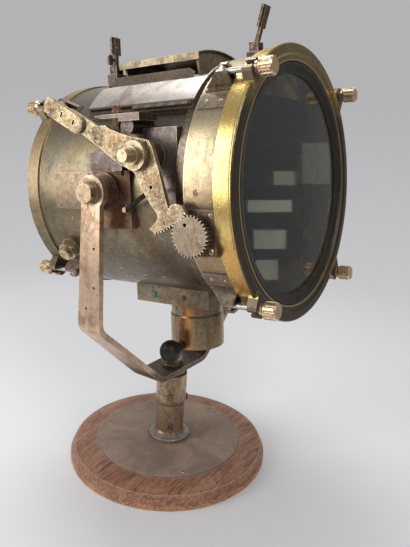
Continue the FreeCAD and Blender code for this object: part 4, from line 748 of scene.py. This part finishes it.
class LAMP_OT_mechanism(Operator):
    """Dress the lever, its gears, stops and brackets"""

    bl_idname = "lamp.mechanism"
    bl_label = "Lever and gears"

    def execute(self, context):
        lever = aged_metal(
            "lever_brass", (0.50, 0.38, 0.235), (0.19, 0.138, 0.085), (0.032, 0.021, 0.014),
            bright=(0.95, 0.80, 0.56), warm=(0.36, 0.23, 0.12), patina=0.55, grime_and_shade=0.9, rub=1.0,
            rough=(0.32, 0.52), cloud=0.022, depth=0.00012, pits=1.0, grain=0.6,
        )
        gear = aged_metal(
            "gear_tan", (0.38, 0.285, 0.20), (0.24, 0.175, 0.12), (0.05, 0.035, 0.022),
            bright=(0.88, 0.74, 0.55), patina=0.5, grime_and_shade=0.85, rough=(0.28, 0.48), cloud=0.010,
            reach=0.005,
        )
        stud = aged_metal(
            "stud_brass", (0.58, 0.44, 0.265), (0.32, 0.235, 0.14), (0.05, 0.035, 0.022),
            bright=(1.0, 0.86, 0.62), patina=0.4, grime_and_shade=0.9, cloud=0.007,
        )
        stops = aged_metal(
            "stop_copper", (0.50, 0.30, 0.19), (0.26, 0.155, 0.105), (0.03, 0.021, 0.016),
            bright=(0.86, 0.64, 0.46), patina=0.45, grime_and_shade=0.9, cloud=0.006,
        )
        plate = aged_metal(
            "gear_plate_brown", (0.23, 0.155, 0.10), (0.125, 0.082, 0.055), (0.025, 0.019, 0.014),
            bright=(0.50, 0.38, 0.28), warm=(0.17, 0.095, 0.065), patina=0.5, grime_and_shade=0.8,
            rough=(0.34, 0.55), metal=0.7, cloud=0.014,
        )
        red_edge = StainOrShade(below(0.40, 0.43), (0.155, 0.080, 0.058), 0.8)
        # Painted light: the upper faces turned to the lever side lighter and greyer
        face = StainOrShade(
            lambda f: f.facing(LEVER_SIDE) * f.height().between(0.40, 0.42),
            (0.21, 0.17, 0.155), 0.8,
        )
        # Painted shade: the faces that look ahead dark
        edge = StainOrShade(lambda f: f.facing(AHEAD), (0.05, 0.032, 0.024), 0.9)
        pads = aged_metal(
            "pad_brown", (0.175, 0.125, 0.095), (0.085, 0.060, 0.046), (0.020, 0.015, 0.012),
            bright=(0.60, 0.47, 0.34), patina=0.5, grime_and_shade=0.85, metal=0.65, cloud=0.012,
            stains_and_shading=(face, red_edge, edge),
        )
        dress(lever, "shutter_lever", "lever_handle")
        dress(gear, "pinion")
        dress(stud, "pivot_stud")
        dress(plate, "gear_plate")
        dress(pads, "lever_brackets")
        dress(stops, "stop_screws")
        return {"FINISHED"}


class LAMP_OT_spring(Operator):
    """Wind the return spring from its bolt on the drum to the hole in the lever's lower arm"""

    bl_idname = "lamp.spring"
    bl_label = "Return spring"

    # Places in the drum's own directions, from the middle of its axis
    BOLT = (-0.1476, -0.0319, -0.0198)
    HOLE = (-0.0814, 0.0059)
    LEVER_BACK = -0.158
    LEVER_FRONT = -0.163
    BOLT_RADIUS = 0.0026
    SLACK = 0.0003
    STRAIGHT = 0.007
    HOOK_START = 225
    HOOK_STEP = 22.5
    HOOK_POINTS = 13
    CURL_POINTS = 12

    def execute(self, context):
        size = sizes()
        bolt = Vector(self.BOLT)
        hole = Vector((self.LEVER_BACK + size.coil + size.wire, *self.HOLE))
        axis = (hole - bolt).normalized()
        tip = Matrix.Translation((0.0, 0.0, AXIS_HEIGHT)) @ Matrix.Rotation(-NOSE_UP, 4, "X")
        line = self.hook(bolt, axis, size) + self.curls(bolt, hole, axis, size)
        line.append(Vector((self.LEVER_BACK, *self.HOLE)))
        line.append(Vector((self.LEVER_FRONT - 2 * size.wire, *self.HOLE)))
        spring = self.drawn(context, [tip @ place for place in line], size.wire)
        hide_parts("return_spring")
        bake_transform(spring)
        return {"FINISHED"}

    def hook(self, bolt, axis, size):
        """The open loop round the bolt."""
        along = Vector((0.0, axis.y, axis.z)).normalized()
        across = Vector((0.0, -along.z, along.y))
        radius = self.BOLT_RADIUS + size.wire + self.SLACK
        turns = [math.radians(self.HOOK_START - self.HOOK_STEP * i) for i in range(self.HOOK_POINTS)]
        return [bolt + (along * math.cos(turn) + across * math.sin(turn)) * radius for turn in turns]

    def curls(self, bolt, hole, axis, size):
        """The wound length between the two straight ends."""
        run = (hole - bolt).length - 2 * self.STRAIGHT
        side = axis.cross(Vector((1.0, 0.0, 0.0))).normalized()
        other = axis.cross(side)
        steps = self.CURL_POINTS * size.curls
        line = []
        for i in range(steps + 1):
            turn = 2 * math.pi / self.CURL_POINTS * i
            out = side * math.cos(turn) + other * math.sin(turn)
            line.append(bolt + axis * (self.STRAIGHT + run * i / steps) + out * size.coil)
        return line

    def drawn(self, context, line, wire):
        """A round wire along the line, as a mesh."""
        curve = bpy.data.curves.new("spring_wire", "CURVE")
        curve.dimensions = "3D"
        curve.bevel_depth = wire
        curve.bevel_resolution = 3
        curve.resolution_u = 3
        curve.use_fill_caps = True
        spline = curve.splines.new("NURBS")
        spline.points.add(len(line) - 1)
        for point, place in zip(spline.points, line):
            point.co = (*place, 1.0)
        spline.order_u = 3
        spline.use_endpoint_u = True
        item = bpy.data.objects.new("coiled_spring", curve)
        context.collection.objects.link(item)
        mesh = bpy.data.meshes.new_from_object(item.evaluated_get(context.evaluated_depsgraph_get()))
        bpy.data.objects.remove(item)
        mesh.materials.clear()
        mesh.materials.append(spring_steel())
        spring = bpy.data.objects.new("coiled_spring", mesh)
        context.collection.objects.link(spring)
        return spring


class LAMP_OT_fittings(Operator):
    """Dress the saddle block, the lamp socket and the ball-headed screw"""

    bl_idname = "lamp.fittings"
    bl_label = "Fittings under the drum"

    def execute(self, context):
        saddle = aged_metal(
            "saddle_bronze", (0.38, 0.295, 0.20), (0.195, 0.15, 0.105), (0.032, 0.025, 0.018),
            bright=(0.60, 0.50, 0.36), warm=(0.20, 0.13, 0.085), patina=0.55, grime_and_shade=0.8,
            cloud=0.018,
        )
        # Painted highlight: an orange stripe down the socket
        glow = StainOrShade(lambda f: f.along(SOCKET_ACROSS).near(0.019, 0.011), (0.74, 0.35, 0.13), 0.9)
        socket = aged_metal(
            "socket_bronze", (0.40, 0.285, 0.165), (0.17, 0.135, 0.095), (0.032, 0.024, 0.018),
            bright=(0.80, 0.62, 0.42), warm=(0.42, 0.20, 0.09), patina=0.5, grime_and_shade=0.85,
            rough=(0.22, 0.44), streak=(1, 1, 0.15), cloud=0.018, stains_and_shading=(glow,),
        )
        dress(saddle, "saddle_block")
        dress(socket, "lamp_socket")
        dress(black_ball(colours()), "ball_screw")
        return {"FINISHED"}


class LAMP_OT_stage(Operator):
    """Pale floor, soft studio light and the camera at the photograph's angle"""

    bl_idname = "lamp.stage"
    bl_label = "Stage"

    # How far from the lamp the paper starts to fade, and the share of its radius where it ends
    FADE_START = 0.30
    FADE_END = 0.8
    CORNERS = 96
    # Which way the pale backdrop lies, and the point that the soft lamps aim at
    BACKDROP = (0.838, 0.525, -0.15)
    AIM = (0.0, 0.0, 0.38)

    def execute(self, context):
        scene = context.scene
        self.floor()
        self.world(scene)
        self.lights()
        self.camera(scene)
        scene.view_settings.view_transform = "Standard"
        return {"FINISHED"}

    def floor(self):
        """Round sheet of pale paper that fades into the backdrop."""
        radius = sizes().floor
        turns = [2 * math.pi * i / self.CORNERS for i in range(self.CORNERS)]
        corners = [(radius * math.cos(turn), radius * math.sin(turn), 0.0) for turn in turns]
        mesh = bpy.data.meshes.new("studio_floor")
        mesh.from_pydata(corners, [], [tuple(range(self.CORNERS))])
        floor = bpy.data.objects.new("studio_floor", mesh)
        bpy.context.collection.objects.link(floor)
        f = Finish("floor_paper")
        fade = f.from_middle().between(self.FADE_START, radius * self.FADE_END)
        paper = f.node("ShaderNodeBsdfDiffuse", {}, {"Color": (0.84, 0.84, 0.852)})
        clear = f.node("ShaderNodeBsdfTransparent", {}, {})
        mesh.materials.append(f.done(f.mixed(fade, paper, clear)))

    def world(self, scene):
        """A pale backdrop behind the lamp and plainer, darker walls round it."""
        world = bpy.data.worlds.new("studio")
        world.use_nodes = True
        g = Graph(world.node_tree)
        way = g.node("ShaderNodeTexCoord", {}, {}, "Generated")
        height = g.dot(way, UPWARD)
        pale = g.ramp(height + 0.55, (
            (0.0, (0.84, 0.84, 0.86)),
            (0.30, (0.57, 0.57, 0.585)),
            (0.62, (0.45, 0.45, 0.46)),
        ))
        wall = g.ramp(height * 0.5 + 0.5, (
            (0.0, (0.42, 0.41, 0.40)),
            (0.46, (0.13, 0.13, 0.13)),
            (1.0, (0.34, 0.34, 0.35)),
        ))
        behind = g.dot(way, self.BACKDROP).between(0.52, 0.80)
        colour = g.blend(behind, wall, pale)
        glow = g.node("ShaderNodeBackground", {}, {"Color": colour, "Strength": 1.0})
        g.node("ShaderNodeOutputWorld", {}, {"Surface": glow})
        scene.world = world

    def lights(self):
        """Soft lamps aimed at the drum, and dim panes that show as pale blocks in the glass."""
        lamps = (
            ("key", (-0.9, -1.3, 1.7), (0.9, 0.7), 15.0),
            ("side", (-1.25, 0.85, 0.74), (0.8, 1.35), 11.0),
            ("top", (0.3, 0.5, 2.0), (0.9, 0.9), 17.0),
        )
        for name, spot, extent, watts in lamps:
            aim = Vector(self.AIM) - Vector(spot)
            self.light(name, spot, extent, watts, aim.to_track_quat("-Z", "Y").to_matrix())
        # The panes are turned so that the glass shows them square to the camera
        across = Vector((0.5427, 0.8330, -0.1075))
        upward = Vector((0.1286, 0.0440, 0.9907))
        turn = Matrix((across, upward, across.cross(upward))).transposed()
        panes = (
            ("pane_bar", (1.111, -0.775, 0.337), (0.154, 0.042), 0.62),
            ("pane_low", (1.096, -0.780, 0.221), (0.112, 0.067), 0.55),
            ("pane_foot", (1.077, -0.794, 0.116), (0.077, 0.070), 0.50),
            ("pane_small", (1.151, -0.728, 0.429), (0.074, 0.049), 0.40),
            ("pane_tall", (1.218, -0.634, 0.468), (0.098, 0.144), 0.17),
        )
        for name, spot, extent, glow in panes:
            watts = glow * math.pi * extent[0] * extent[1]
            pane = self.light(name, spot, extent, watts, turn)
            pane.visible_camera = False
            pane.data.color = PANE_TINT

    def light(self, name, spot, extent, watts, turn):
        """One rectangular lamp of the studio."""
        light = bpy.data.lights.new(name, "AREA")
        light.shape = "RECTANGLE"
        light.size, light.size_y = extent
        light.energy = watts
        item = bpy.data.objects.new(name, light)
        item.matrix_world = Matrix.Translation(spot) @ turn.to_4x4()
        bpy.context.collection.objects.link(item)
        return item

    def camera(self, scene):
        """The camera that was fitted to the photograph."""
        data = bpy.data.cameras.new("photo_camera")
        data.sensor_width = 36.0
        data.lens = 35.6243
        data.shift_x = -0.015534
        data.shift_y = -0.066597
        item = bpy.data.objects.new("photo_camera", data)
        right = (0.542722, -0.837754, 0.060181)
        up = (0.12857, 0.15367, 0.979722)
        back = (-0.830014, -0.523979, 0.19111)
        turn = Matrix((right, up, back)).transposed().to_4x4()
        item.matrix_world = Matrix.Translation((-0.58948, -0.42825, 0.46212)) @ turn
        bpy.context.collection.objects.link(item)
        scene.camera = item


OPERATORS = (
    LAMP_OT_stand,
    LAMP_OT_yoke,
    LAMP_OT_drum,
    LAMP_OT_front,
    LAMP_OT_clamps,
    LAMP_OT_mechanism,
    LAMP_OT_spring,
    LAMP_OT_fittings,
    LAMP_OT_stage,
)


class LAMP_PT_pieces(Panel):
    """Lists the lamp's pieces in the order in which they are made"""

    bl_idname = "LAMP_PT_pieces"
    bl_label = "Signal lamp"
    bl_space_type = "VIEW_3D"
    bl_region_type = "UI"
    bl_category = "Signal lamp"

    def draw(self, context):
        for operator in OPERATORS:
            self.layout.operator(operator.bl_idname)
        for group in (context.scene.lamp_colours, context.scene.lamp_sizes):
            box = self.layout.box()
            for name in group.__annotations__:
                box.prop(group, name)


CLASSES = (LampColours, LampSizes, *OPERATORS, LAMP_PT_pieces)


def register():
    for item in CLASSES:
        bpy.utils.register_class(item)
    bpy.types.Scene.lamp_colours = PointerProperty(type=LampColours)
    bpy.types.Scene.lamp_sizes = PointerProperty(type=LampSizes)


def unregister():
    del bpy.types.Scene.lamp_colours
    del bpy.types.Scene.lamp_sizes
    for item in reversed(CLASSES):
        bpy.utils.unregister_class(item)


def main():
    register()
    for operator in OPERATORS:
        group, name = operator.bl_idname.split(".")
        getattr(getattr(bpy.ops, group), name)()
    bpy.context.view_layer.update()


if __name__ == "__main__":
    main()
